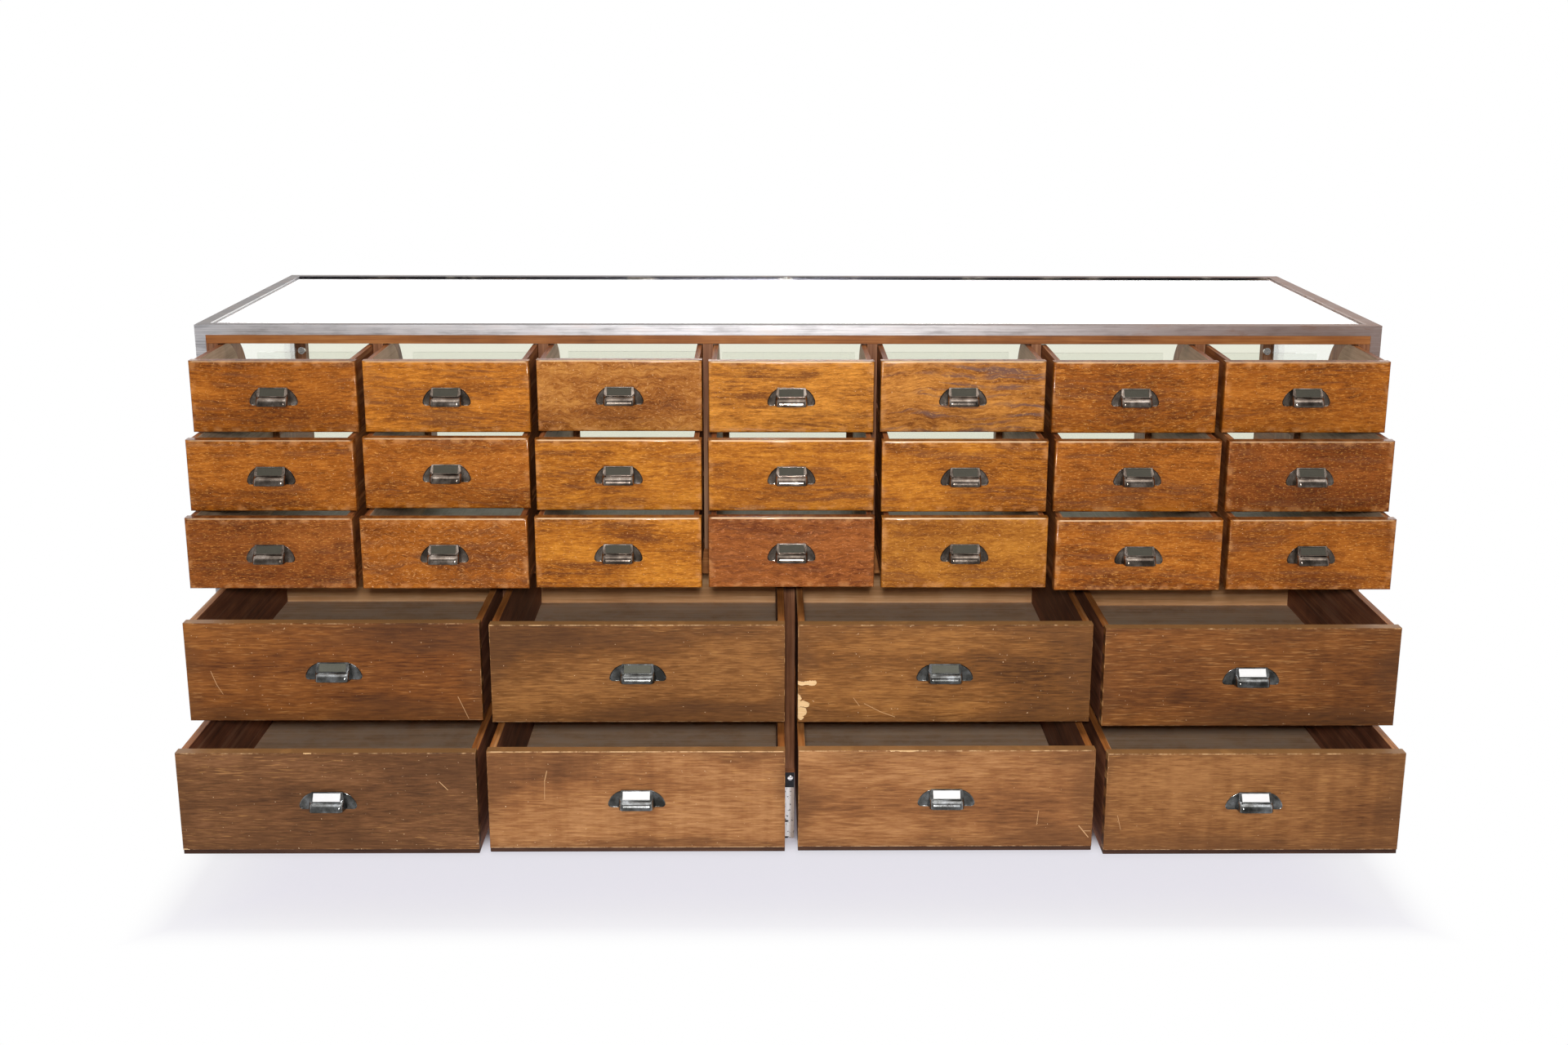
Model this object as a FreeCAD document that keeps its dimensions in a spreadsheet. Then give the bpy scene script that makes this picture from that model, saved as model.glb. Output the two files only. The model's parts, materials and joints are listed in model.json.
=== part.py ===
import FreeCAD, Part
import math
import os
import Sketcher

# Haberdashery cabinet: a shop counter with three rows of seven small drawers over two rows of
# four large ones, in a wooden carcase with a nickelled steel edge frame and a glass top.
# The small drawers are longer row by row downwards, so that their glass tails show as steps
# through the glass on the customer's side.
#
# Every piece is drawn in the cabinet's own coordinates, in millimetres: X to the right seen
# from the drawers, Y from the front plane towards the customer, Z up from the floor. Each
# node is then moved along Y, so that the origin lies under the middle of the whole object.

SMALL_ROWS = (1, 2, 3)
LARGE_ROWS = (4, 5)
SMALL_COLUMNS = 7
LARGE_COLUMNS = 4
LEFT, RIGHT = -1, 1

SIZES = {
    # overall
    "width": 2000.0,
    "depth": 652.0,
    "leg_height": 132.0,
    # steel edge frame
    "steel": 3.0,
    "frame_face": 17.3,
    "frame_flange": 21.0,
    "post_leaf": 18.0,
    "leg_width": 21.0,
    "leg_inset": 6.0,
    "leg_foot_chamfer": 2.0,
    "bracket_width": 20.0,
    "bracket_height": 30.0,
    "bracket_thickness": 3.0,
    # glass
    "glass": 6.0,
    "end_glass_bottom": 657.0,
    "clip_radius": 7.0,
    "clip_depth": 7.0,
    "clip_height": 792.0,
    # carcase
    "end_wall": 24.6,
    "end_stile": 37.6,
    "stile_depth": 25.0,
    "centre_post": 20.2,
    "side_post": 15.7,
    "small_post": 17.5,
    "bottom_board": 8.5,
    "rail_depth": 22.0,
    "lower_rail_height": 18.0,
    "middle_rail_height": 45.0,
    "deck_board": 16.0,
    "top_rail_show": 14.5,
    "top_rail_depth": 20.0,
    "back_panel": 12.0,
    "runner_width": 20.0,
    "batten_reach": 3.6,
    "batten_set_back": 5.0,
    "partition_margin": 5.0,
    "partition_curve_end": 170.0,
    "step_above_batten": 2.0,
    # gaps around the drawers
    "run_clearance": 0.3,
    "rail_gap": 1.0,
    "middle_gap": 4.9,
    "deck_gap": 1.0,
    "row_gap": 2.3,
    "top_gap": 2.2,
    "small_side_clearance": 1.0,
    "large_side_clearance": 0.4,
    "front_seat": 0.3,
    # small drawers
    "small_front_height": 117.0,
    "small_front_thickness": 20.0,
    "small_front_round": 4.0,
    "front_overlap": 3.4,
    "small_side": 8.5,
    "small_bottom": 5.0,
    "groove_low": 8.0,
    "groove_height": 9.0,
    "groove_depth": 4.2,
    "side_curve": 82.0,
    "small_length_1": 360.0,
    "small_length_2": 471.0,
    "small_length_3": 582.0,
    "low_run_1": 112.0,
    "low_run_2": 21.0,
    "low_run_3": 21.0,
    "pane_height": 71.6,
    "pane": 4.5,
    "pane_play": 1.0,
    "bead": 6.0,
    "corner_strip": 12.0,
    # large drawers
    "large_front_height": 166.0,
    "large_front_thickness": 21.0,
    "large_side": 11.5,
    "large_side_drop": 5.0,
    "large_bottom": 8.0,
    "large_bottom_rise": 12.0,
    "large_back": 10.0,
    "large_back_drop": 15.0,
    "large_length": 590.0,
    "skid_height": 8.2,
    "skid_width": 20.0,
    "skid_set_back": 3.0,
    # cup pulls with a label holder
    "pull_height": 29.5,
    "pull_projection": 22.0,
    "pull_sheet": 1.5,
    "lip_low": 2.0,
    "lip_middle_out": 19.4,
    "lip_middle_up": 9.8,
    "label_low_out": 13.0,
    "label_low_up": 15.5,
    "label_high_out": 3.0,
    "ear_height": 28.0,
    "small_pull_width": 79.0,
    "small_hood_base": 56.0,
    "small_hood_front": 49.0,
    "small_hood_top": 46.0,
    "small_pull_rise": 1.0,
    "large_pull_width": 93.0,
    "large_hood_base": 62.0,
    "large_hood_front": 52.0,
    "large_hood_top": 50.0,
    "large_pull_rise": 3.0,
}

# How far each drawer stands open at rest, from the front plane to the face of its front.
REST_OPEN = {
    1: (156.0, 156.0, 147.0, 157.0, 153.0, 160.0, 158.0),
    2: (203.0, 187.0, 198.0, 202.0, 209.0, 209.0, 210.0),
    3: (239.0, 240.0, 236.0, 233.0, 237.0, 251.0, 249.0),
    4: (262.0, 271.0, 272.0, 291.0),
    5: (352.0, 347.0, 345.0, 360.0),
}

UP = FreeCAD.Vector(0, 0, 1)
ACROSS = FreeCAD.Vector(1, 0, 0)
ALONG = FreeCAD.Vector(0, 1, 0)
ARC_MIDDLE = math.cos(math.pi / 4)

doc = FreeCAD.newDocument("haberdashery_cabinet")
sheet = doc.addObject("Spreadsheet::Sheet", "dims")
work = doc.addObject("App::VarSet", "work")
nodes = []


def open_name(row, column):
    return f"open_{row}_{column}"


def fill_sheet():
    """Write every driving dimension into the sheet, one cell each, with its alias."""
    cells = dict(SIZES)
    for row, distances in REST_OPEN.items():
        for column, distance in enumerate(distances, start=1):
            cells[open_name(row, column)] = distance
    for line, (alias, value) in enumerate(cells.items(), start=1):
        sheet.set(f"A{line}", str(value))
        sheet.setAlias(f"A{line}", alias)
    doc.recompute()


def worked_out(name, expression):
    """Add a value that follows from the sheet, and return how expressions call it."""
    work.addProperty("App::PropertyFloat", name)
    work.setExpression(name, expression)
    return "work." + name


def work_out_levels():
    """Stack the cabinet up from the floor."""
    worked_out("board_top", "dims.leg_height + dims.bottom_board")
    worked_out("row_5", "work.board_top + dims.run_clearance + dims.skid_height")
    worked_out("lower_rail", "work.row_5 + dims.large_front_height + dims.rail_gap")
    worked_out("row_4", "work.lower_rail + dims.lower_rail_height + dims.rail_gap")
    worked_out("middle_rail", "work.row_4 + dims.large_front_height + dims.middle_gap")
    worked_out("deck_top", "work.middle_rail + dims.middle_rail_height")
    worked_out("deck_under", "work.deck_top - dims.deck_board")
    worked_out("row_3", "work.deck_top + dims.deck_gap")
    worked_out("row_2", "work.row_3 + dims.small_front_height + dims.row_gap")
    worked_out("row_1", "work.row_2 + dims.small_front_height + dims.row_gap")
    worked_out("top_rail", "work.row_1 + dims.small_front_height + dims.top_gap")
    worked_out("frame", "work.top_rail + dims.top_rail_show")
    worked_out("top", "work.frame + dims.frame_face")
    worked_out("glass_seat", "work.top - dims.steel - dims.glass")


def work_out_columns():
    """Share the width out between the posts, and find the middle of each column."""
    worked_out("half_width", "dims.width / 2")
    worked_out("end_face", "work.half_width - dims.end_wall")
    worked_out("panel_face", "work.half_width - dims.steel")
    worked_out("leaf_edge", "work.half_width - dims.post_leaf")
    worked_out(
        "small_pitch",
        f"(dims.width - 2 * dims.end_stile + dims.small_post) / {SMALL_COLUMNS}",
    )
    worked_out("small_bay", "work.small_pitch - dims.small_post")
    worked_out("small_front", "work.small_bay + 2 * dims.front_overlap")
    worked_out("small_half", "work.small_bay / 2 - dims.small_side_clearance")
    worked_out("small_inner", "work.small_half - dims.small_side")
    worked_out(
        "large_bay",
        "(dims.width - 2 * dims.end_wall - dims.centre_post - 2 * dims.side_post)"
        f" / {LARGE_COLUMNS}",
    )
    worked_out("large_half", "work.large_bay / 2 - dims.large_side_clearance")
    worked_out("large_inner", "work.large_half - dims.large_side")
    worked_out("large_near", "dims.centre_post / 2 + work.large_bay / 2")
    worked_out("large_far", "work.large_near + work.large_bay + dims.side_post")
    worked_out("side_partition", "dims.centre_post / 2 + work.large_bay")


def work_out_depths():
    """Find the planes along Y, the reach of each row and the move to the origin."""
    worked_out("back_plane", "dims.depth - dims.steel")
    worked_out("back_face", "work.back_plane - dims.back_panel")
    for row in SMALL_ROWS:
        worked_out(
            f"reach_{row}",
            f"dims.small_length_{row} - dims.small_front_thickness - dims.front_seat"
            " + dims.partition_margin",
        )
        worked_out(f"batten_{row}", f"work.row_{row} + dims.groove_low + dims.run_clearance")
        worked_out(
            f"batten_top_{row}",
            f"work.row_{row} + dims.groove_low + dims.groove_height - dims.run_clearance",
        )
        worked_out(f"step_{row}", f"work.batten_top_{row} + dims.step_above_batten")
    every = "; ".join(
        "dims." + open_name(row, column)
        for row, distances in REST_OPEN.items()
        for column in range(1, len(distances) + 1)
    )
    worked_out("front_y", f"(max({every}) + dims.pull_projection - dims.depth) / 2")


def column_x(row, column):
    """The middle of a column, counted from 1 at the left."""
    if row in SMALL_ROWS:
        return f"{column - (SMALL_COLUMNS + 1) / 2} * work.small_pitch"
    side = "-" if column <= LARGE_COLUMNS / 2 else ""
    far = column in (1, LARGE_COLUMNS)
    return side + ("work.large_far" if far else "work.large_near")


# ---- ways of making a piece ----

def move(item, x="0", y="0", z="0"):
    """Bind a piece's place to expressions."""
    for axis, value in zip("xyz", (x, y, z)):
        item.setExpression("Placement.Base." + axis, value)
    return item


def board(name, x, y, z):
    """A square-edged board between three pairs of planes, each given low, then high."""
    piece = doc.addObject("Part::Box", name)
    for size, (low, high) in zip(("Length", "Width", "Height"), (x, y, z)):
        piece.setExpression(size, f"({high}) - ({low})")
    return move(piece, x[0], y[0], z[0])


def pin(name, radius, length, turn, x, y, z):
    """A round piece whose axis is the vertical turned by the given rotation."""
    piece = doc.addObject("Part::Cylinder", name)
    piece.setExpression("Radius", radius)
    piece.setExpression("Height", length)
    piece.Placement.Rotation = turn
    return move(piece, x, y, z)


def placed(name, source, x="0", y="0", z="0", turn=0):
    """A piece set down at another place, turned about the vertical."""
    copy = doc.addObject("Part::Compound", name)
    copy.Links = [source]
    copy.Placement.Rotation = FreeCAD.Rotation(UP, turn)
    return move(copy, x, y, z)


def mirrored(name, source, normal=ACROSS, y="0"):
    """A piece's other hand."""
    copy = doc.addObject("Part::Mirroring", name)
    copy.Source = source
    copy.Normal = normal
    copy.setExpression("Base.y", y)
    return copy


def node(label, pieces, x="0", y="work.front_y", z="0"):
    """One named sub-part of the cabinet, made of the pieces that belong to it."""
    group = doc.addObject("Part::Compound", label)
    group.Label = label
    group.Links = pieces
    nodes.append(move(group, x, y, z))
    return group


def origin_plane(body, role):
    return [item for item in body.Origin.OriginFeatures if item.Role == role][0]


def nose(u, v, radius):
    """The two ends and the middle of a quarter round on an upper outer corner."""
    short = f"{1 - ARC_MIDDLE} * ({radius})"
    middle = (f"({u}) - {short}", f"({v}) - {short}")
    return [(u, f"({v}) - ({radius})", middle), (f"({u}) - ({radius})", v)]


def outline(body, name, role, corners):
    """A closed sketch through corners bound to expressions, on an origin plane.

    A corner is (u, v), or (u, v, middle) where an arc through the middle leads to the next.
    """
    sketch = body.newObject("Sketcher::SketchObject", name)
    sketch.AttachmentSupport = [(origin_plane(body, role), "")]
    sketch.MapMode = "FlatFace"
    count = len(corners)

    def value(expression):
        return float(work.evalExpression(expression))

    def point(corner):
        return FreeCAD.Vector(value(corner[0]), value(corner[1]), 0)

    def fix(geometry, vertex, corner):
        for kind, expression in zip(("DistanceX", "DistanceY"), corner):
            rule = Sketcher.Constraint(kind, -1, 1, geometry, vertex, value(expression))
            index = sketch.addConstraint(rule)
            sketch.setExpression(f"Constraints[{index}]", expression)

    starts = []
    for index, corner in enumerate(corners):
        start, end = point(corner), point(corners[(index + 1) % count])
        if len(corner) == 3:
            added = sketch.addGeometry(Part.Arc(start, point(corner[2]), end), False)
            arc_start = sketch.getPoint(added, 1)
            turned = arc_start.distanceToPoint(start) > arc_start.distanceToPoint(end)
            starts.append((added, 2, 1) if turned else (added, 1, 2))
            continue
        starts.append((sketch.addGeometry(Part.LineSegment(start, end), False), 1, 2))
    for index, (geometry, first, last) in enumerate(starts):
        following, next_first, _ = starts[(index + 1) % count]
        join = Sketcher.Constraint("Coincident", geometry, last, following, next_first)
        sketch.addConstraint(join)
        fix(geometry, first, corners[index])
        if len(corners[index]) == 3:
            middle = corners[index][2]
            mark = sketch.addGeometry(Part.Point(point(middle)), True)
            fix(mark, 1, middle)
            sketch.addConstraint(Sketcher.Constraint("PointOnObject", mark, 1, geometry))
    return sketch


def pad(body, name, sketch, length, reverse=False, both_ways=False):
    """Raise a sketch into a solid, along its plane's normal unless it is reversed."""
    feature = body.newObject("PartDesign::Pad", name)
    feature.Profile = sketch
    feature.setExpression("Length", length)
    feature.Reversed = reverse
    feature.Midplane = both_ways
    return feature


def pocket(body, name, sketch, length, reverse=False, both_ways=False):
    """Cut a sketch out of the solid, against its plane's normal unless it is reversed."""
    feature = body.newObject("PartDesign::Pocket", name)
    feature.Profile = sketch
    feature.setExpression("Length", length)
    feature.Reversed = reverse
    feature.Midplane = both_ways
    return feature


def faces_at(shape, axis, end):
    """The names of the flat faces that lie at the low or high end of an axis."""
    limit = getattr(shape.BoundBox, axis + end)
    near = []
    for index, face in enumerate(shape.Faces, start=1):
        box = face.BoundBox
        low, high = getattr(box, axis + "Min"), getattr(box, axis + "Max")
        if abs(low - limit) < 1e-6 and abs(high - limit) < 1e-6:
            near.append(f"Face{index}")
    return near


# ---- steel edge frame ----

def steel_rail(name, length):
    """A top rail of angle section along X, its ends mitred, its corner edge on the X axis."""
    body = doc.addObject("PartDesign::Body", name)
    face, flange = "dims.frame_face", "dims.frame_flange"
    section = outline(body, name + "_section", "YZ_Plane", [
        ("0", "0"),
        ("dims.steel", "0"),
        ("dims.steel", f"{face} - dims.steel"),
        (flange, f"{face} - dims.steel"),
        (flange, face),
        ("0", face),
    ])
    pad(body, name + "_bar", section, length, both_ways=True)
    half = f"{length} / 2"
    for side, sign in (("left", "-"), ("right", "")):
        mitre = outline(body, f"{name}_{side}_line", "XY_Plane", [
            (f"{sign}({half})", "0"),
            (f"{sign}({half})", flange),
            (f"{sign}({half} - {flange})", flange),
        ])
        pocket(body, f"{name}_{side}_mitre", mitre, face, reverse=True)
    return body


def make_top_frame():
    along_x = steel_rail("long_rail", "dims.width")
    along_y = steel_rail("short_rail", "dims.depth")
    half_depth = "dims.depth / 2"
    node("top_frame_front", [along_x], z="work.frame")
    back = placed("back_rail", along_x, y="dims.depth", turn=180)
    node("top_frame_back", [back], z="work.frame")
    left = placed("left_rail", along_y, x="-work.half_width", y=half_depth, turn=-90)
    node("top_frame_left", [left], z="work.frame")
    right = placed("right_rail", along_y, x="work.half_width", y=half_depth, turn=90)
    node("top_frame_right", [right], z="work.frame")


def make_corner_posts():
    """Four angle posts from the floor to the frame, which are the corner legs too."""
    body = doc.addObject("PartDesign::Body", "angle_post")
    leaf = "dims.post_leaf"
    section = outline(body, "angle_section", "XY_Plane", [
        ("0", "0"),
        (leaf, "0"),
        (leaf, "dims.steel"),
        ("dims.steel", "dims.steel"),
        ("dims.steel", leaf),
        ("0", leaf),
    ])
    pad(body, "angle_bar", section, "work.frame")
    corners = (
        ("front_left", "-work.half_width", "0", 0),
        ("front_right", "work.half_width", "0", 90),
        ("back_right", "work.half_width", "dims.depth", 180),
        ("back_left", "-work.half_width", "dims.depth", -90),
    )
    for name, x, y, turn in corners:
        post = placed("post_" + name, body, x, y, turn=turn)
        node("corner_post_" + name, [post])


def make_centre_legs():
    """A leg under the middle of each long side, with its bracket."""
    half = "dims.leg_width / 2"
    body = doc.addObject("PartDesign::Body", "centre_leg")
    section = outline(body, "leg_section", "XY_Plane", [
        (f"-{half}", "0"),
        (half, "0"),
        (half, "dims.leg_width"),
        (f"-{half}", "dims.leg_width"),
    ])
    bar = pad(body, "leg_bar", section, "dims.leg_height")
    doc.recompute()
    foot = body.newObject("PartDesign::Chamfer", "leg_foot")
    foot.Base = (bar, faces_at(bar.Shape, "Z", "Min"))
    foot.setExpression("Size", "dims.leg_foot_chamfer")
    front_y = "dims.leg_inset"
    back_y = "dims.depth - dims.leg_inset"
    node("centre_leg_front", [placed("leg_front", body, y=front_y)])
    node("centre_leg_back", [placed("leg_back", body, y=back_y, turn=180)])

    half_plate = "dims.bracket_width / 2"
    bracket = board(
        "bracket",
        (f"-{half_plate}", half_plate),
        ("-dims.bracket_thickness", "0"),
        ("dims.leg_height - dims.bracket_height", "dims.leg_height"),
    )
    node("leg_brackets", [
        placed("bracket_front", bracket, y=front_y),
        placed("bracket_back", bracket, y=back_y, turn=180),
    ])


# ---- glass ----

def make_glass():
    panel = ("-work.panel_face", "work.panel_face")
    inner = ("-work.end_face", "work.end_face")
    top = ("work.glass_seat", "work.glass_seat + dims.glass")
    node("glass_top", [board("top_pane", panel, ("dims.steel", "work.back_plane"), top)])
    back = board(
        "back_pane",
        inner,
        ("work.back_plane - dims.glass", "work.back_plane"),
        ("work.deck_top", "work.top_rail"),
    )
    node("glass_back", [back])
    right = board(
        "end_pane",
        ("work.panel_face - dims.glass", "work.panel_face"),
        ("dims.stile_depth", "dims.depth - dims.stile_depth"),
        ("dims.end_glass_bottom", "work.top_rail"),
    )
    node("glass_end_right", [right])
    node("glass_end_left", [mirrored("end_pane_left", right)])
    clip = pin(
        "clip",
        "dims.clip_radius",
        "dims.clip_depth",
        FreeCAD.Rotation(ACROSS, 90),
        "work.end_face + dims.clip_radius",
        "dims.depth - dims.stile_depth",
        "dims.clip_height",
    )
    node("glass_clips", [clip, mirrored("clip_left", clip)])


# ---- wooden carcase ----

def cornered_upright(name, depth, back_rebate, bottom, top):
    """An upright inside the steel angle, rebated so that its edge is flush with the steel."""
    body = doc.addObject("PartDesign::Body", name)
    corners = [
        ("work.end_face", "0"),
        ("work.leaf_edge", "0"),
        ("work.leaf_edge", "dims.steel"),
        ("work.panel_face", "dims.steel"),
    ]
    if back_rebate:
        corners += [
            ("work.panel_face", f"{depth} - dims.steel"),
            ("work.leaf_edge", f"{depth} - dims.steel"),
            ("work.leaf_edge", depth),
        ]
    else:
        corners.append(("work.panel_face", depth))
    corners.append(("work.end_face", depth))
    plan = outline(body, name + "_plan", "XY_Plane", corners)
    pad(body, name + "_height", plan, f"({top}) - ({bottom})")
    return placed(name + "_set", body, z=bottom)


def make_ends():
    panel = cornered_upright(
        "end_board", "dims.depth", True, "dims.leg_height", "dims.end_glass_bottom"
    )
    node("end_panel_right", [panel])
    node("end_panel_left", [mirrored("end_board_left", panel)])
    stile = cornered_upright(
        "stile", "dims.stile_depth", False, "dims.end_glass_bottom", "work.top_rail"
    )
    front_left = mirrored("stile_front_left", stile)
    back_right = mirrored("stile_back_right", stile, ALONG, "dims.depth / 2")
    back_left = mirrored("stile_back_left", front_left, ALONG, "dims.depth / 2")
    node("end_stiles", [stile, front_left, back_right, back_left])


def make_top_rails():
    """Rails round the top that carry the glass, the long ones flush with the front plane."""
    seat = ("work.top_rail", "work.glass_seat")
    core = board(
        "long_core",
        ("-work.panel_face", "work.panel_face"),
        ("dims.steel", "dims.top_rail_depth"),
        seat,
    )
    show = board(
        "long_show",
        ("-work.leaf_edge", "work.leaf_edge"),
        ("0", "dims.steel"),
        ("work.top_rail", "work.frame"),
    )
    front = doc.addObject("Part::Fuse", "front_top_rail")
    front.Base = core
    front.Tool = show
    front.Refine = True
    back = mirrored("back_top_rail", front, ALONG, "dims.depth / 2")
    right = board(
        "right_top_rail",
        ("work.panel_face - dims.top_rail_depth", "work.panel_face"),
        ("dims.top_rail_depth", "dims.depth - dims.top_rail_depth"),
        seat,
    )
    node("top_rails", [front, back, right, mirrored("left_top_rail", right)])


def make_small_partitions():
    """Partitions that step down with the rows; their front edges are the posts."""
    corners = [("0", "work.deck_top"), ("work.reach_3", "work.deck_top")]
    for row in reversed(SMALL_ROWS):
        corners.append((f"work.reach_{row}", f"work.step_{row}"))
        if row != SMALL_ROWS[0]:
            corners.append((f"work.reach_{row - 1}", f"work.step_{row}"))
    corners.append(("dims.partition_curve_end", f"work.step_{SMALL_ROWS[0]}"))
    radius = f"(work.top_rail - work.step_{SMALL_ROWS[0]})"
    start, end = nose("dims.partition_curve_end", "work.top_rail", radius)
    corners[-1] = start
    corners += [end, ("0", "work.top_rail")]

    def partition(name, thickness):
        body = doc.addObject("PartDesign::Body", name)
        side = outline(body, name + "_side", "YZ_Plane", corners)
        pad(body, name + "_board", side, thickness, both_ways=True)
        return body

    inner = partition("inner_partition", "dims.small_post")
    pieces = [
        placed(f"partition_{number}", inner, x=f"{number - SMALL_COLUMNS / 2} * work.small_pitch")
        for number in range(1, SMALL_COLUMNS)
    ]
    outer = partition("outer_partition", "dims.end_stile - dims.end_wall")
    middle = "work.end_face - (dims.end_stile - dims.end_wall) / 2"
    pieces.append(placed("partition_right", outer, x=middle))
    pieces.append(placed("partition_left", outer, x=f"-({middle})"))
    node("small_partitions", pieces)


def make_battens():
    """The strips on the partitions that the small drawers' grooves slide along."""
    reach = "dims.small_side_clearance + dims.batten_reach"
    pieces = []
    for row in SMALL_ROWS:
        strip = board(
            f"batten_row_{row}",
            (f"work.small_bay / 2 - ({reach})", "work.small_bay / 2"),
            ("dims.batten_set_back", f"work.reach_{row} - dims.batten_set_back"),
            (f"work.batten_{row}", f"work.batten_top_{row}"),
        )
        pair = doc.addObject("Part::Compound", f"batten_pair_{row}")
        pair.Links = [strip, mirrored(f"batten_row_{row}_left", strip)]
        for column in range(1, SMALL_COLUMNS + 1):
            pieces.append(placed(f"battens_{row}_{column}", pair, x=column_x(row, column)))
    node("drawer_battens", pieces)


def make_middle():
    across = ("-work.end_face", "work.end_face")
    rail = board(
        "rail_board", across, ("0", "dims.rail_depth"), ("work.middle_rail", "work.deck_top")
    )
    node("middle_rail", [rail])
    deck = board(
        "deck_piece",
        across,
        ("dims.rail_depth", "work.back_face"),
        ("work.deck_under", "work.deck_top"),
    )
    node("middle_deck", [deck])


def make_large_partitions():
    """Upright boards between the large drawers, notched behind the middle rail."""

    def partition(name, thickness):
        body = doc.addObject("PartDesign::Body", name)
        side = outline(body, name + "_side", "YZ_Plane", [
            ("0", "work.board_top"),
            ("work.back_face", "work.board_top"),
            ("work.back_face", "work.deck_under"),
            ("dims.rail_depth", "work.deck_under"),
            ("dims.rail_depth", "work.middle_rail"),
            ("0", "work.middle_rail"),
        ])
        pad(body, name + "_board", side, thickness, both_ways=True)
        return body

    node("centre_partition", [partition("centre_upright", "dims.centre_post")])
    upright = partition("side_upright", "dims.side_post")
    middle = "work.side_partition + dims.side_post / 2"
    node("side_partition_right", [placed("side_right", upright, x=middle)])
    node("side_partition_left", [placed("side_left", upright, x=f"-({middle})")])


def make_lower_rails_and_runners():
    """Between rows 4 and 5: a rail at the front of each bay, and runners behind it."""
    half = "work.large_bay / 2"
    rail = board(
        "bay_rail",
        (f"-{half}", half),
        ("0", "dims.rail_depth"),
        ("work.lower_rail", "work.lower_rail + dims.lower_rail_height"),
    )
    strip = board(
        "runner_strip",
        (f"{half} - dims.runner_width", half),
        ("dims.rail_depth", "work.back_face"),
        ("work.lower_rail", "work.row_4 - dims.run_clearance"),
    )
    pair = doc.addObject("Part::Compound", "runner_pair")
    pair.Links = [strip, mirrored("runner_strip_left", strip)]
    rails, runners = [], []
    for column in range(1, LARGE_COLUMNS + 1):
        x = column_x(LARGE_ROWS[0], column)
        rails.append(placed(f"lower_rail_{column}", rail, x=x))
        runners.append(placed(f"runners_{column}", pair, x=x))
    node("lower_rails", rails)
    node("large_runners", runners)


def make_bottom_and_back():
    across = ("-work.end_face", "work.end_face")
    floor = board(
        "floor_board", across, ("0", "work.back_face"), ("dims.leg_height", "work.board_top")
    )
    node("bottom_board", [floor])
    back = board(
        "back_board",
        across,
        ("work.back_face", "work.back_plane"),
        ("dims.leg_height", "work.deck_top"),
    )
    node("customer_panel", [back])


# ---- pulls ----

def make_pull(kind):
    """A pressed cup pull: a plate with two ears, and a hollow hood with a slope for a label."""
    width = f"dims.{kind}_pull_width"
    base, front, top = (f"dims.{kind}_hood_{part}" for part in ("base", "front", "top"))
    body = doc.addObject("PartDesign::Body", kind + "_pull")
    lip = ("-dims.label_low_out", "dims.label_low_up")
    bulge = ("-dims.lip_middle_out", "dims.lip_middle_up")
    section = outline(body, kind + "_hood_section", "YZ_Plane", [
        ("0", "dims.lip_low"),
        ("0", "dims.pull_height"),
        ("-dims.label_high_out", "dims.pull_height"),
        lip + (bulge,),
        ("-dims.pull_projection", "dims.lip_low"),
    ])
    pad(body, kind + "_hood", section, base, both_ways=True)
    for side in (LEFT, RIGHT):
        flare = outline(body, f"{kind}_flare_{side + 1}", "XZ_Plane", [
            (f"{side} * {base} / 2", "0"),
            (f"{side} * {base} / 2", "dims.pull_height"),
            (f"{side} * {top} / 2", "dims.pull_height"),
        ])
        pocket(body, f"{kind}_flare_cut_{side + 1}", flare, "dims.pull_projection", reverse=True)
        cheek = outline(body, f"{kind}_cheek_{side + 1}", "XY_Plane", [
            (f"{side} * {base} / 2", "0"),
            (f"{side} * {base} / 2", "-dims.pull_projection"),
            (f"{side} * {front} / 2", "-dims.pull_projection"),
        ])
        last = pocket(
            body, f"{kind}_cheek_cut_{side + 1}", cheek, "dims.pull_height", reverse=True
        )
    doc.recompute()
    shell = body.newObject("PartDesign::Thickness", kind + "_shell")
    open_faces = faces_at(last.Shape, "Z", "Min") + faces_at(last.Shape, "Y", "Max")
    shell.Base = (last, open_faces)
    shell.setExpression("Value", "dims.pull_sheet")
    shell.Reversed = True
    ear = f"(({width} - {top}) / 2)"
    radius = f"(({ear}^2 + dims.ear_height^2) / (2 * {ear}))"
    turn = f"(asin(dims.ear_height / {radius}) / 2)"
    ear_out = f"({width} / 2 - {radius} + {radius} * cos({turn}))"
    ear_up = f"{radius} * sin({turn})"
    plate = outline(body, kind + "_plate_line", "XZ_Plane", [
        (f"-{width} / 2", "0"),
        (f"{width} / 2", "0", (ear_out, ear_up)),
        (f"{top} / 2", "dims.ear_height"),
        (f"{top} / 2", "dims.pull_height"),
        (f"-{top} / 2", "dims.pull_height"),
        (f"-{top} / 2", "dims.ear_height", (f"-{ear_out}", ear_up)),
    ])
    pad(body, kind + "_plate", plate, "dims.pull_sheet")
    return body


# ---- drawers ----

def small_front():
    """A front board with rounded edges all round its face."""
    half = "work.small_front / 2"
    body = doc.addObject("PartDesign::Body", "small_front_board")
    face = outline(body, "small_front_face", "XZ_Plane", [
        (f"-{half}", "0"),
        (half, "0"),
        (half, "dims.small_front_height"),
        (f"-{half}", "dims.small_front_height"),
    ])
    blank = pad(body, "small_front_blank", face, "dims.small_front_thickness", reverse=True)
    doc.recompute()
    rounding = body.newObject("PartDesign::Fillet", "small_front_round")
    rounding.Base = (blank, faces_at(blank.Shape, "Y", "Min"))
    rounding.setExpression("Radius", "dims.small_front_round")
    return body


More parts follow.
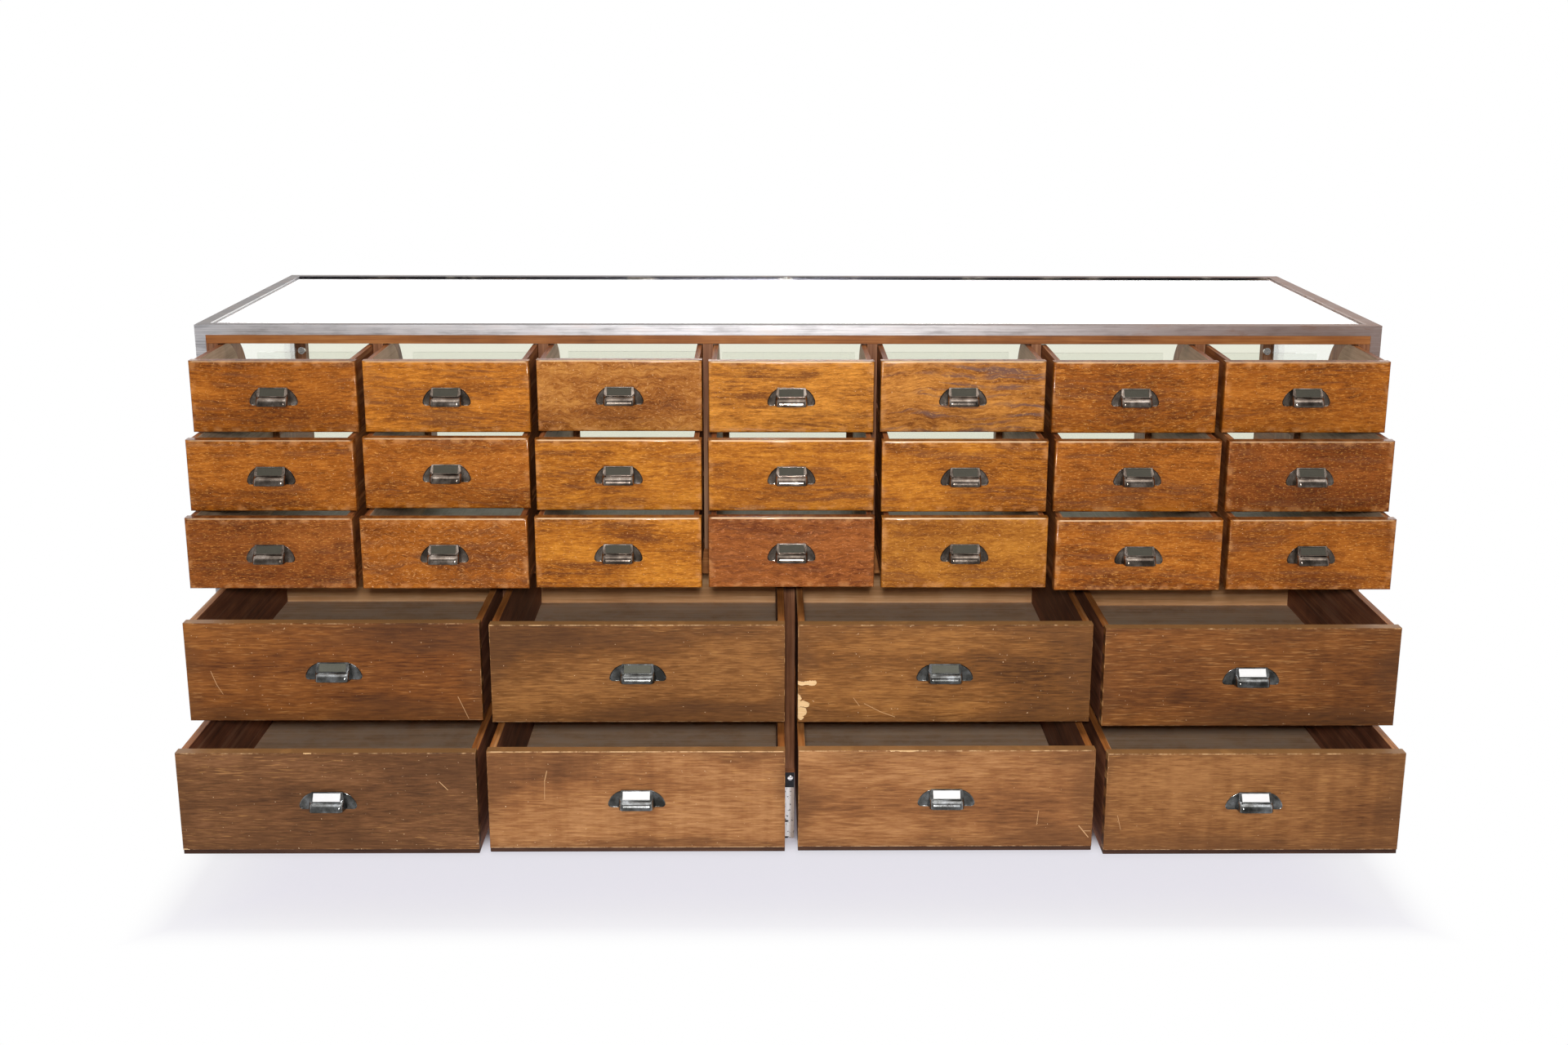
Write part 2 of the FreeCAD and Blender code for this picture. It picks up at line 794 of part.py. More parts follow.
def small_side(row):
    """A drawer side that curves down near its tail, with the groove that carries it."""
    height = "dims.small_front_height"
    low = f"({height} - dims.side_curve)"
    length = f"dims.small_length_{row}"
    front = "dims.small_front_thickness"
    curve_end = f"({length} - dims.low_run_{row})"
    start, end = nose(curve_end, height, "dims.side_curve")
    body = doc.addObject("PartDesign::Body", f"side_row_{row}")
    side = outline(body, f"side_line_{row}", "YZ_Plane", [
        (front, "0"), (length, "0"), (length, low), start, end, (front, height),
    ])
    pad(body, f"side_blank_{row}", side, "dims.small_side", reverse=True)
    groove_top = "dims.groove_low + dims.groove_height"
    groove = outline(body, f"groove_line_{row}", "YZ_Plane", [
        (front, "dims.groove_low"),
        (length, "dims.groove_low"),
        (length, groove_top),
        (front, groove_top),
    ])
    pocket(body, f"groove_{row}", groove, "dims.groove_depth")
    return placed(f"side_{row}_right", body, x="work.small_half")


def tail_strips(row, back_of_pane):
    """The strips in the drawer's rear corners, against which its glass tail stands."""
    if row == SMALL_ROWS[0]:
        wide, tall = "dims.bead", "dims.small_front_height - dims.side_curve"
    else:
        wide, tall = "dims.corner_strip", "dims.pane_height"
    strip = board(
        f"tail_strip_{row}",
        (f"work.small_inner - {wide}", "work.small_inner"),
        (back_of_pane, f"dims.small_length_{row}"),
        ("dims.small_bottom", tall),
    )
    return [strip, mirrored(f"tail_strip_{row}_left", strip)]


def small_drawer(row, front, pull):
    """All the pieces of one small drawer, its front's face at Y 0 and lower edge at Z 0."""
    side = small_side(row)
    length = f"dims.small_length_{row}"
    back_of_pane = f"{length} - dims.bead"
    inner = ("-work.small_inner", "work.small_inner")
    bottom = board(
        f"bottom_row_{row}",
        inner,
        ("dims.small_front_thickness", length),
        ("0", "dims.small_bottom"),
    )
    pane_x = "work.small_inner - dims.pane_play"
    tail = board(
        f"tail_pane_{row}",
        (f"-({pane_x})", pane_x),
        (f"{back_of_pane} - dims.pane", back_of_pane),
        ("dims.small_bottom", "dims.pane_height"),
    )
    drawer = doc.addObject("Part::Compound", f"drawer_row_{row}")
    drawer.Links = [front, side, mirrored(f"side_{row}_left", side), bottom, tail, pull]
    drawer.Links += tail_strips(row, back_of_pane)
    return drawer


def large_drawer(row, pull):
    """All the pieces of one large drawer; the lowest row stands on skids."""
    name = f"row_{row}"
    front = "dims.large_front_thickness"
    half, inner = "work.large_half", "work.large_inner"
    side_top = "dims.large_front_height - dims.large_side_drop"
    bottom_top = "dims.large_bottom_rise + dims.large_bottom"
    back_face = "dims.large_length - dims.large_back"
    side = board(
        "large_side_" + name, (inner, half), (front, "dims.large_length"), ("0", side_top)
    )
    pieces = [
        board(
            "large_front_" + name,
            (f"-{half}", half),
            ("0", front),
            ("0", "dims.large_front_height"),
        ),
        side,
        mirrored(f"large_side_{name}_left", side),
        board(
            "large_bottom_" + name,
            (f"-{inner}", inner),
            (front, back_face),
            ("dims.large_bottom_rise", bottom_top),
        ),
        board(
            "large_back_" + name,
            (f"-{inner}", inner),
            (back_face, "dims.large_length"),
            ("0", f"{side_top} - dims.large_back_drop"),
        ),
        pull,
    ]
    if row == LARGE_ROWS[-1]:
        under = ("-dims.skid_height", "0")
        skid = board(
            "skid", (f"{half} - dims.skid_width", half), (front, "dims.large_length"), under
        )
        toe = board("skid_toe", (f"-{half}", half), ("dims.skid_set_back", front), under)
        pieces += [toe, skid, mirrored("skid_left", skid)]
    drawer = doc.addObject("Part::Compound", f"drawer_{name}")
    drawer.Links = pieces
    return drawer


def set_drawers(row, size, drawer):
    """Put one drawer into each bay of a row, as far open as it stands at rest."""
    for column in range(1, len(REST_OPEN[row]) + 1):
        node(
            f"{size}_drawer_{row}_{column}",
            [drawer],
            x=column_x(row, column),
            y=f"work.front_y - dims.{open_name(row, column)}",
            z=f"work.row_{row}",
        )


def make_drawers():
    front = small_front()
    height = "(dims.small_front_height - dims.pull_height) / 2 + dims.small_pull_rise"
    pull = placed("small_pull_fixed", make_pull("small"), z=height)
    for row in SMALL_ROWS:
        set_drawers(row, "small", small_drawer(row, front, pull))
    height = "(dims.large_front_height - dims.pull_height) / 2 + dims.large_pull_rise"
    pull = placed("large_pull_fixed", make_pull("large"), z=height)
    for row in LARGE_ROWS:
        set_drawers(row, "large", large_drawer(row, pull))


def check_document():
    """Stop if any object failed, or if a sub-part has no sound shape."""
    for item in doc.Objects:
        if "Invalid" in item.State or "Error" in item.State:
            raise RuntimeError(f"{item.Name} is {item.State}")
    for item in nodes:
        if item.Shape.isNull() or not item.Shape.isValid():
            raise RuntimeError(f"{item.Label} has no sound shape")


def export_nodes():
    os.makedirs("parts", exist_ok=True)
    for item in nodes:
        item.Shape.exportStep(os.path.join("parts", item.Label + ".step"))


fill_sheet()
work_out_levels()
work_out_columns()
work_out_depths()
doc.recompute()
make_top_frame()
make_corner_posts()
make_centre_legs()
make_glass()
make_ends()
make_top_rails()
make_small_partitions()
make_battens()
make_middle()
make_large_partitions()
make_lower_rails_and_runners()
make_bottom_and_back()
make_drawers()
doc.recompute()
check_document()
export_nodes()
print(f"{len(nodes)} nodes, {sum(len(item.Shape.Solids) for item in nodes)} solids")
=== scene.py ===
import json
import math
from functools import reduce

import bmesh
import bpy
from mathutils import Matrix, Vector

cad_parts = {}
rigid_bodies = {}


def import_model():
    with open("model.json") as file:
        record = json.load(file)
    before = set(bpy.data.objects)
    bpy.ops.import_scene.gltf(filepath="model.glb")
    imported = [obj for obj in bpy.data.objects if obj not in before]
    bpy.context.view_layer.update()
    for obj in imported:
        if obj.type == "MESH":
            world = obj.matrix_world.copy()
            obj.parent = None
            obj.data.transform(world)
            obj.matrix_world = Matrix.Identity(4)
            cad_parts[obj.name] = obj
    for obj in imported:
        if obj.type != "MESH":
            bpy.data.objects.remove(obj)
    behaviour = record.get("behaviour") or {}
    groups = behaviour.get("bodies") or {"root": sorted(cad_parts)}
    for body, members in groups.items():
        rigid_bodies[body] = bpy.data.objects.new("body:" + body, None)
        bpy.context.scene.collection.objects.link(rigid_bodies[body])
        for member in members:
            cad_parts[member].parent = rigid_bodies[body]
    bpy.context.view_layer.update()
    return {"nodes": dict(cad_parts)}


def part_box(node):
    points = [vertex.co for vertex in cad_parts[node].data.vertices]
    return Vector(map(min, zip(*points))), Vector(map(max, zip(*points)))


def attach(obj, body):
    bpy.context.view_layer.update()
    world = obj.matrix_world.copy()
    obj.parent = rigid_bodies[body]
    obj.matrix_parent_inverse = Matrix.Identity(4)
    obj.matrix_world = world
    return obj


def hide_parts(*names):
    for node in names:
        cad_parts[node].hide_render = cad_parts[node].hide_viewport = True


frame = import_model()
bpy.ops.object.select_all(action="DESELECT")

# Haberdashery cabinet. Lengths are in metres, X to the right, Y from the drawers towards the
# customer, Z up. A drawer is modelled at its own origin, with its front's face at Y 0 and its
# lower edge at Z 0, and is then set where the frame has that drawer.

MM = 0.001

# ---- sizes ----

SMALL_ROWS, SMALL_COLUMNS = (1, 2, 3), 7
LARGE_ROWS, LARGE_COLUMNS = (4, 5), 4
TOP_ROW, LOWEST_ROW = 1, 5
SKID_HEIGHT = 8.2 * MM

# A drawer's height, the thickness and rounding of its front, and then its other pieces.
SMALL_HEIGHT, SMALL_FRONT, SMALL_ROUND = 117 * MM, 20 * MM, 4 * MM
SMALL_OVERLAP = 4.4 * MM  # of the front past the side, on each hand
SMALL_SIDE = 8.5 * MM
SMALL_BOTTOM = 5 * MM
SIDE_CURVE = 82 * MM
SIDE_TAIL = {1: 112 * MM, 2: 21 * MM, 3: 21 * MM}
SMALL_LENGTH = {1: 360 * MM, 2: 471 * MM, 3: 582 * MM}
GROOVE, GROOVE_DEPTH = (8 * MM, 17 * MM), 4.2 * MM
PANE_TOP, PANE, PANE_PLAY, PANE_EASE = 71.6 * MM, 4.5 * MM, 1 * MM, 0.5 * MM
BEAD, CORNER_STRIP = 6 * MM, 12 * MM

LARGE_HEIGHT, LARGE_FRONT, LARGE_ROUND = 166 * MM, 21 * MM, 1.3 * MM
LARGE_LENGTH = 590 * MM
LARGE_SIDE = 11.5 * MM
LARGE_SIDE_DROP = 5 * MM
LARGE_BOTTOM = (12 * MM, 20 * MM)  # from the drawer's lower edge
LARGE_BACK, LARGE_BACK_DROP = 10 * MM, 15 * MM
SKID_WIDTH, TOE_SET_BACK = 20 * MM, 3 * MM

# How far sharp edges are broken.
SMALL_BACK_EASE, LARGE_BACK_EASE = 0.7 * MM, 0.8 * MM
SMALL_EASE, LARGE_EASE, CARCASE_EASE = 0.6 * MM, 0.8 * MM, 0.8 * MM
STEEL_EASE, LEG_EASE, IRON_EASE = 0.4 * MM, 0.6 * MM, 0.3 * MM

PULL_PROJECTION = 22 * MM
PULL_HEIGHT = 29.5 * MM
PULL_RISE = {"small": 1 * MM, "large": 3 * MM}  # above the middle of a front
SHEET, SHEET_EASE = 1.5 * MM, 0.45 * MM
LIP_LOW = 2 * MM
LIP_LEVELS = (0.18, 0.36, 0.54, 0.72, 0.88, 1.0)  # shares of the lip's height
LIP_CENTRE = Vector((0, -9.65897 * MM, 3.88238 * MM))  # of the arc that the lip follows
LIP_RADIUS = 12.08849 * MM
LIP_CORNER = 6 * MM
LABEL_LOW = Vector((0, -13 * MM, 15.5 * MM))
LABEL_HIGH = Vector((0, -3 * MM, PULL_HEIGHT))
LABEL_SINK, LABEL_RISE, LABEL_MARGIN = 0.3 * MM, 1.1 * MM, 0.4 * MM
LABEL_RIM, LABEL_RIM_EASE = 1.7 * MM, 0.35 * MM
LABEL_BAR, LABEL_BAR_RISE = 0.8 * MM, 0.9 * MM
CARD_LOW, CARD_HIGH, CARD_PLAY = 0.02 * MM, 0.6 * MM, 0.2 * MM
EAR_HEIGHT, EAR_CORNER = 28 * MM, 6.5 * MM
EAR_RIM, EAR_DISH, EAR_EASE = 1.3 * MM, 0.9 * MM, 0.2 * MM
PULLS = {
    "small": {
        "width": 79 * MM, "base": 56 * MM, "front": 49 * MM, "top": 46 * MM, "label": 43 * MM
    },
    "large": {
        "width": 93 * MM, "base": 62 * MM, "front": 52 * MM, "top": 50 * MM, "label": 47 * MM
    },
}
WITH_CARD = {(4, 4), (5, 1), (5, 2), (5, 3), (5, 4)}

SCREW_RADIUS, SCREW_HEIGHT, SCREW_ROUND = 5.2 * MM, 2.4 * MM, 1.6 * MM
SCREW_ACROSS, SCREW_DROP = 3 * MM, 11 * MM  # from the bracket's middle and its top
SCREW_SLOT_WIDTH, SCREW_SLOT_DEPTH = 1 * MM, 0.8 * MM

PAST = 1.0  # a cutting tool's reach past the wood
FACING_FRONT = (math.pi / 2, 0, 0)
FACING_SIDE = (0, math.pi / 2, 0)


def drawer_node(row, column):
    size = "small" if row in SMALL_ROWS else "large"
    return f"{size}_drawer_{row}_{column}"


def every_drawer():
    """Each drawer's row, column and size."""
    rows = [(row, SMALL_COLUMNS, "small") for row in SMALL_ROWS]
    rows += [(row, LARGE_COLUMNS, "large") for row in LARGE_ROWS]
    return [(row, column + 1, size) for row, columns, size in rows for column in range(columns)]


def drawer_place(row, column):
    """Where the frame has a drawer: the lower middle of its front's face."""
    low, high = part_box(drawer_node(row, column))
    skid = SKID_HEIGHT if row == LOWEST_ROW else 0
    return Vector(((low[0] + high[0]) / 2, low[1] + PULL_PROJECTION, low[2] + skid))


def drawer_half(row):
    """Half the width of a drawer's front."""
    low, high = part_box(drawer_node(row, 1))
    return (high[0] - low[0]) / 2


# ---- modelling by hand ----

def only(*pieces):
    bpy.ops.object.select_all(action="DESELECT")
    for piece in pieces:
        piece.select_set(True)
    bpy.context.view_layer.objects.active = pieces[0]


def named(piece, name):
    piece.name = name
    piece.data.name = name
    return piece


def settle(name):
    """Name the new primitive and put its place, turn and size into its mesh."""
    bpy.ops.object.transform_apply(location=True, rotation=True, scale=True)
    return named(bpy.context.object, name)


def slab(name, middle, size, turn=(0, 0, 0)):
    """A board of a size, turned about its middle."""
    bpy.ops.object.select_all(action="DESELECT")
    bpy.ops.mesh.primitive_cube_add(size=1, location=middle, scale=size, rotation=turn)
    return settle(name)


def block(name, x, y, z):
    """A board between two places along each direction."""
    middle = [(low + high) / 2 for low, high in (x, y, z)]
    return slab(name, middle, [high - low for low, high in (x, y, z)])


def rod(name, radius, length, middle, turn, corners=32):
    bpy.ops.object.select_all(action="DESELECT")
    bpy.ops.mesh.primitive_cylinder_add(
        vertices=corners, radius=radius, depth=length, location=middle, rotation=turn
    )
    return settle(name)


def begin(piece):
    only(piece)
    bpy.ops.object.mode_set(mode="EDIT")
    bpy.ops.mesh.select_all(action="DESELECT")


def end():
    bpy.ops.object.mode_set(mode="OBJECT")


def choose(piece, kind, wanted):
    """Select what passes the test: a face's middle and normal, an edge's middle and direction,
    or a corner's place."""
    bpy.ops.mesh.select_mode(type=kind)
    bpy.ops.mesh.select_all(action="DESELECT")
    mesh = bmesh.from_edit_mesh(piece.data)
    if kind == "FACE":
        for face in mesh.faces:
            face.select_set(wanted(face.calc_center_median(), face.normal))
    elif kind == "EDGE":
        for edge in mesh.edges:
            a, b = (corner.co for corner in edge.verts)
            edge.select_set(wanted((a + b) / 2, (b - a).normalized()))
    else:
        for corner in mesh.verts:
            corner.select_set(wanted(corner.co))
    mesh.select_flush_mode()
    bmesh.update_edit_mesh(piece.data)


def near(value, other, reach=0.05 * MM):
    return abs(value - other) < reach


def round_edges(piece, wanted, width, segments=2):
    """Round the edges that pass the test."""
    choose(piece, "EDGE", wanted)
    bpy.ops.mesh.bevel(offset=width, segments=segments, profile=0.5, affect="EDGES")


def finish_with(piece, kind, **settings):
    """Add a modifier and apply it."""
    only(piece)
    bpy.ops.object.modifier_add(type=kind)
    modifier = piece.modifiers[-1]
    for key, value in settings.items():
        setattr(modifier, key, value)
    bpy.ops.object.modifier_apply(modifier=modifier.name)


def ease(piece, width, segments=2):
    """Break the sharp edges of a piece a little, as sanding or wear does."""
    sharp = {"limit_method": "ANGLE", "angle_limit": math.radians(35)}
    finish_with(piece, "BEVEL", width=width, segments=segments, **sharp)


def smooth(piece, angle=38):
    """Smooth shading over curves, with the flat faces left flat."""
    only(piece)
    bpy.ops.object.shade_smooth_by_angle(angle=math.radians(angle))
    finish_with(piece, "WEIGHTED_NORMAL", keep_sharp=True)


def cut(piece, tool):
    """Take the tool's shape out of the piece."""
    finish_with(piece, "BOOLEAN", operation="DIFFERENCE", object=tool, solver="EXACT")
    bpy.data.objects.remove(tool)


def joined(name, pieces):
    only(*pieces)
    bpy.ops.object.join()
    return named(pieces[0], name)


def own_copy(original, name):
    """A copy with its own mesh."""
    piece = original.copy()
    piece.data = original.data.copy()
    bpy.context.scene.collection.objects.link(piece)
    return named(piece, name)


def paint(piece, material):
    piece.data.materials.clear()
    piece.data.materials.append(material)


def paint_faces(piece, material, wanted):
    """Give the chosen faces of a painted piece another finish."""
    piece.data.materials.append(material)
    begin(piece)
    choose(piece, "FACE", wanted)
    piece.active_material_index = len(piece.data.materials) - 1
    bpy.ops.object.material_slot_assign()
    end()


# ---- how finishes are made ----

def tone(colour):
    """A colour as the eye names it, 0 to 255, in the values that light is worked out in."""
    def linear(value):
        return value / 12.92 if value <= 0.04045 else ((value + 0.055) / 1.055) ** 2.4

    return (*(linear(value / 255) for value in colour), 1.0)


class Wire:
    """The output of a node, joined to further nodes by plain arithmetic."""

    def __init__(self, finish, socket):
        self.finish = finish
        self.socket = socket

    def worked(self, operation, *values):
        return self.finish.node("ShaderNodeMath", {"operation": operation}, values)

    def __add__(self, other):
        return self.worked("ADD", self, other)

    __radd__ = __add__

    def __sub__(self, other):
        return self.worked("SUBTRACT", self, other)

    def __rsub__(self, other):
        return self.worked("SUBTRACT", other, self)

    def __mul__(self, other):
        return self.worked("MULTIPLY", self, other)

    __rmul__ = __mul__

    def __pow__(self, other):
        return self.worked("POWER", self, other)

    def __abs__(self):
        return self.worked("ABSOLUTE", self)

    def least(self, other):
        return self.worked("MINIMUM", self, other)

    def most(self, other):
        return self.worked("MAXIMUM", self, other)

    def root(self):
        return self.worked("SQRT", self)

    def teeth(self):
        """0 to 1, over and over, as a saw's teeth."""
        return self.worked("FRACT", self)

    def between(self, low, high):
        """0 below low, 1 above high, a soft rise between them; high may be the lower."""
        values = (high, low, 1.0, 0.0) if high < low else (low, high, 0.0, 1.0)
        settings = {"interpolation_type": "SMOOTHSTEP"}
        return self.finish.node("ShaderNodeMapRange", settings, (self, *values))


class Finish:
    """A material or world under way. A colour is three numbers, as the eye names it."""

    def __init__(self, name, world=None):
        self.owner = world or bpy.data.materials.new(name)
        self.owner.use_nodes = True
        self.tree = self.owner.node_tree
        self.tree.nodes.clear()
        place = self.tree.nodes.new("ShaderNodeTexCoord")
        self.place = Wire(self, place.outputs["Generated" if world else "Object"])

    def node(self, kind, settings=None, values=(), output=0):
        """Add a node: its settings first, then the values or wires of its sockets."""
        made = self.tree.nodes.new(kind)
        for key, value in (settings or {}).items():
            if key == "stops":
                stops = made.color_ramp.elements
                while len(stops) < len(value):
                    stops.new(0.5)
                for stop, (position, colour) in zip(stops, value):
                    stop.position = position
                    stop.color = tone(colour)
            else:
                setattr(made, key, value)
        pairs = values.items() if isinstance(values, dict) else enumerate(values)
        for key, value in pairs:
            socket = made.inputs[key]
            if isinstance(value, Wire):
                self.tree.links.new(value.socket, socket)
            else:
                socket.default_value = tone(value) if socket.type == "RGBA" else value
        return Wire(self, made.outputs[output])

    def noise(self, scale, offset=(0, 0, 0), detail=3, roughness=0.5, source=None):
        """A cloudy pattern; three scales draw it out along X, Y and Z."""
        vector = self.place
        if not isinstance(scale, (int, float)):
            placed = {"Vector": source or vector, "Location": offset, "Scale": scale}
            vector, scale = self.node("ShaderNodeMapping", None, placed), 1.0
        values = {"Vector": vector, "Scale": scale, "Detail": detail, "Roughness": roughness}
        return self.node("ShaderNodeTexNoise", None, values)

    def along(self, axis):
        return self.node("ShaderNodeSeparateXYZ", None, (self.place,), output=axis)

    def lifted(self, by):
        """The place in the object moved up by a wire, so that a grain sways."""
        shift = self.node("ShaderNodeCombineXYZ", None, {"Z": by})
        return self.node("ShaderNodeVectorMath", {"operation": "ADD"}, (self.place, shift))

    def ray(self, kind):
        """1 for light on its way to the camera, or after gloss or glass."""
        return self.node("ShaderNodeLightPath", output=f"Is {kind} Ray")

    def stroke(self, across, up, mark):
        """1 on a straight mark with soft edges; its start, end and width are in mm."""
        x, z, to_x, to_z, width = (value * MM for value in mark)
        run, rise = to_x - x, to_z - z
        across, up = across - x, up - z
        share = (across * run + up * rise) * (1 / (run**2 + rise**2))
        share = share.least(1.0).most(0.0)
        gap_x, gap_z = across - share * run, up - share * rise
        return (gap_x * gap_x + gap_z * gap_z).root().between(width, width * 0.5)

    def mix(self, share, first, second):
        values = {0: share, 6: first, 7: second}
        return self.node("ShaderNodeMix", {"data_type": "RGBA"}, values, output=2)

    def layered(self, ground, *layers):
        """Colours laid over a ground one after another, each by its share."""
        for share, colour in layers:
            ground = self.mix(share, ground, colour)
        return ground

    def ramp(self, share, positions, shades):
        stops = list(zip(positions, shades))
        return self.node("ShaderNodeValToRGB", {"stops": stops}, (share,))

    def bump(self, height, strength, distance):
        values = {"Height": height, "Strength": strength, "Distance": distance}
        return self.node("ShaderNodeBump", None, values)

    def surface(self, **values):
        """The closing shader; names are written with _ for a space."""
        named = {key.replace("_", " "): value for key, value in values.items()}
        return self.output(self.node("ShaderNodeBsdfPrincipled", None, named))

    def output(self, shader, kind="Material"):
        out = self.tree.nodes.new(f"ShaderNodeOutput{kind}")
        self.tree.links.new(shader.socket, out.inputs["Surface"])
        return self.owner


WHITE, BLACK = (255, 255, 255), (0, 0, 0)


def on_front(finish, row, column, height):
    """How far from a front's left end, foot, face, nearer end, top and nearest edge."""
    place, half = drawer_place(row, column), drawer_half(row)
    across, up, depth = (finish.along(axis) - place[axis] for axis in (0, 2, 1))
    from_end, from_top = half - abs(across), height - up
    return across + half, up, depth, from_end, from_top, from_end.least(up.least(from_top))


# ---- the small fronts' oak; shades run from dark to light ----

HONEY = {
    "shades": ((112, 57, 8), (167, 97, 18), (204, 131, 36)),
    "sway": 0.028,
    "ripple": 0.004,
    "streak": 0.5,
    "streak_tone": (116, 70, 40),
    "fleck": 0.55,
    "fleck_tone": (228, 162, 76),
}
BROWN = {"shades": ((102, 50, 9), (151, 82, 15), (186, 110, 32))}
GRAINED = {"sway": 0.02, "streak": 0.75, "streak_tone": (104, 54, 20)}
# Darker outer columns: partly the oak's own tone, partly painted shade of the light's fall-off.
SMALL_LOOKS = {
    (1, 1): BROWN,
    (1, 2): {"shades": ((130, 70, 14), (188, 112, 28), (222, 146, 50))},
    (1, 3): {
        "shades": ((112, 57, 8), (158, 94, 31), (194, 131, 58)),
        "ripple": 0.024,
        "fleck": 0.7,
        "fleck_tone": (220, 164, 98),
    },
    (1, 4): {**GRAINED, "shades": ((112, 57, 8), (184, 114, 32), (220, 146, 52))},
    (1, 5): {
        "shades": ((112, 57, 8), (176, 110, 40), (214, 144, 62)),
        "sway": 0.055,
        "ripple": 0.008,
        "streak": 0.95,
        "streak_tone": (116, 82, 68),
    },
    (1, 6): {**BROWN, "ripple": 0.01},
    (1, 7): BROWN,
    (2, 1): BROWN,
    (2, 2): {**BROWN, "ripple": 0.012},
    (2, 6): BROWN,
    (2, 7): {"shades": ((88, 42, 10), (120, 60, 12), (150, 82, 26))},
    (3, 1): {"shades": ((88, 42, 10), (130, 68, 17), (160, 92, 32))},
    (3, 2): {**BROWN, "ripple": 0.02, "fleck": 0.75, "fleck_tone": (216, 156, 88)},
    (3, 3): GRAINED,
    (3, 4): {
        "shades": ((96, 45, 16), (142, 78, 27), (174, 102, 44)),
        "ripple": 0.012,
        "fleck_tone": (206, 128, 72),
    },
    (3, 5): {"shades": ((112, 57, 8), (152, 90, 21), (187, 121, 38)), "ripple": 0.014},
    (3, 6): BROWN,
    (3, 7): {"shades": ((102, 50, 9), (140, 75, 13), (174, 101, 28))},
}


def small_front_oak(row, column):
    """Varnished oak: short wavy fibres, pale flecks, greyer streaks and rubbed edges, pale dots
    that are partly painted glints, and a painted highlight along the top arris.
    """
    look = {**HONEY, **SMALL_LOOKS.get((row, column), {})}
    shades = look["shades"]
    finish = Finish(f"oak_front_{row}_{column}")
    seed = 3.7 * row + 1.9 * column
    sway = finish.noise((5, 1, 9), (seed, 0, seed), 2)
    ripple = finish.noise((44, 1, 56), (0, 0, seed))
    swayed = finish.lifted((sway - 0.5) * look["sway"] + (ripple - 0.5) * look["ripple"])

    def grain(scale, offset, detail=3, roughness=0.6):
        return finish.noise(scale, offset, detail, roughness, swayed)

    patches = finish.noise((7, 5, 16), (0, 0, seed), 4, 0.6)
    bands = grain((5, 4, 74), (seed, 0, 0))
    fibres = grain((52, 40, 330), (seed, 0, 0), 5.0, 0.74)
    streaks = grain((8, 4, 120), (0, 0, seed))
    streaked = streaks.between(0.5, 0.64) * patches.between(0.6, 0.44)
    flecks = grain((160, 110, 800), (seed, 0, 0))
    pores = grain((90, 70, 900), (0, 0, seed), 2.0)
    dots = finish.noise((420, 300, 420), (seed, 0, 0), 1)
    _, _, depth, from_end, from_top, edge = on_front(finish, row, column, SMALL_HEIGHT)
    rubbed = finish.noise((60, 40, 60), (0, seed, 0), 4)
    rubbed = edge.between(14 * MM, 2 * MM) * rubbed.between(0.46, 0.66)
    # Painted highlight along the rounded top arris: a pale line, faded near the ends, strongest on
    # the middle columns
    arris_highlight = from_top.between(2.8 * MM, 1.4 * MM) * depth.between(3 * MM, 1.6 * MM)
    inward = from_end.between(2 * MM, 8 * MM)
    bright = abs(finish.along(0)).between(0.85, 0.1) * 0.5 + 0.35
    tinted = finish.layered(
        finish.ramp(bands * 0.2 + fibres * 0.5 + patches * 0.3, (0.4, 0.5, 0.6), shades),
        (streaked * look["streak"], look["streak_tone"]),
        (flecks.between(0.56, 0.67) * look["fleck"], look["fleck_tone"]),
        (pores.between(0.56, 0.7) * 0.5, shades[0]),
        # pale dots: partly worn specks in the varnish, partly painted glints of the lamp
        (dots.between(0.74, 0.8) * 0.7, (236, 198, 146)),
        (rubbed * 0.45, (212, 150, 92)),
        (edge.between(1.5 * MM, 0.4 * MM) * 0.45, (86, 42, 18)),
        # the painted highlight along the top arris
        (arris_highlight * inward * bright, (252, 216, 170)),
    )
    return finish.surface(
        Base_Color=tinted,
        Roughness=0.34 + fibres * 0.2 + streaked * 0.1,
        Normal=finish.bump(fibres + bands * 0.4 - pores * 0.3, 0.2, 0.3 * MM),
        Specular_IOR_Level=0.1,
        Coat_Weight=0.26,
        Coat_Roughness=0.12,
    )


# ---- the large fronts' veneer: shades, the strength of the upright figure, and wear ----

TAN = ((104, 63, 32), (148, 96, 52), (184, 132, 82))
# Darker outer columns: partly the veneer's own tone, partly painted shade of the light's fall-off.
LARGE_LOOKS = {
    (4, 1): (((76, 38, 9), (123, 70, 24), (162, 101, 42)), 0.04, 0.4),
    (4, 2): (((76, 44, 13), (118, 73, 29), (160, 107, 53)), 0.04, 0.7),
    (4, 3): (((76, 44, 13), (128, 80, 32), (170, 114, 55)), 0.04, 0.4),
    (4, 4): (((66, 34, 9), (110, 63, 22), (146, 90, 38)), 0.04, 0.4),
    (5, 1): (((74, 46, 24), (112, 72, 39), (142, 97, 60)), 0.04, 0.4),
    (5, 2): (TAN, 0.1, 1.0),
    (5, 3): (TAN, 0.04, 0.7),
    (5, 4): (((92, 53, 24), (134, 86, 43), (168, 116, 66)), 0.1, 0.6),
}

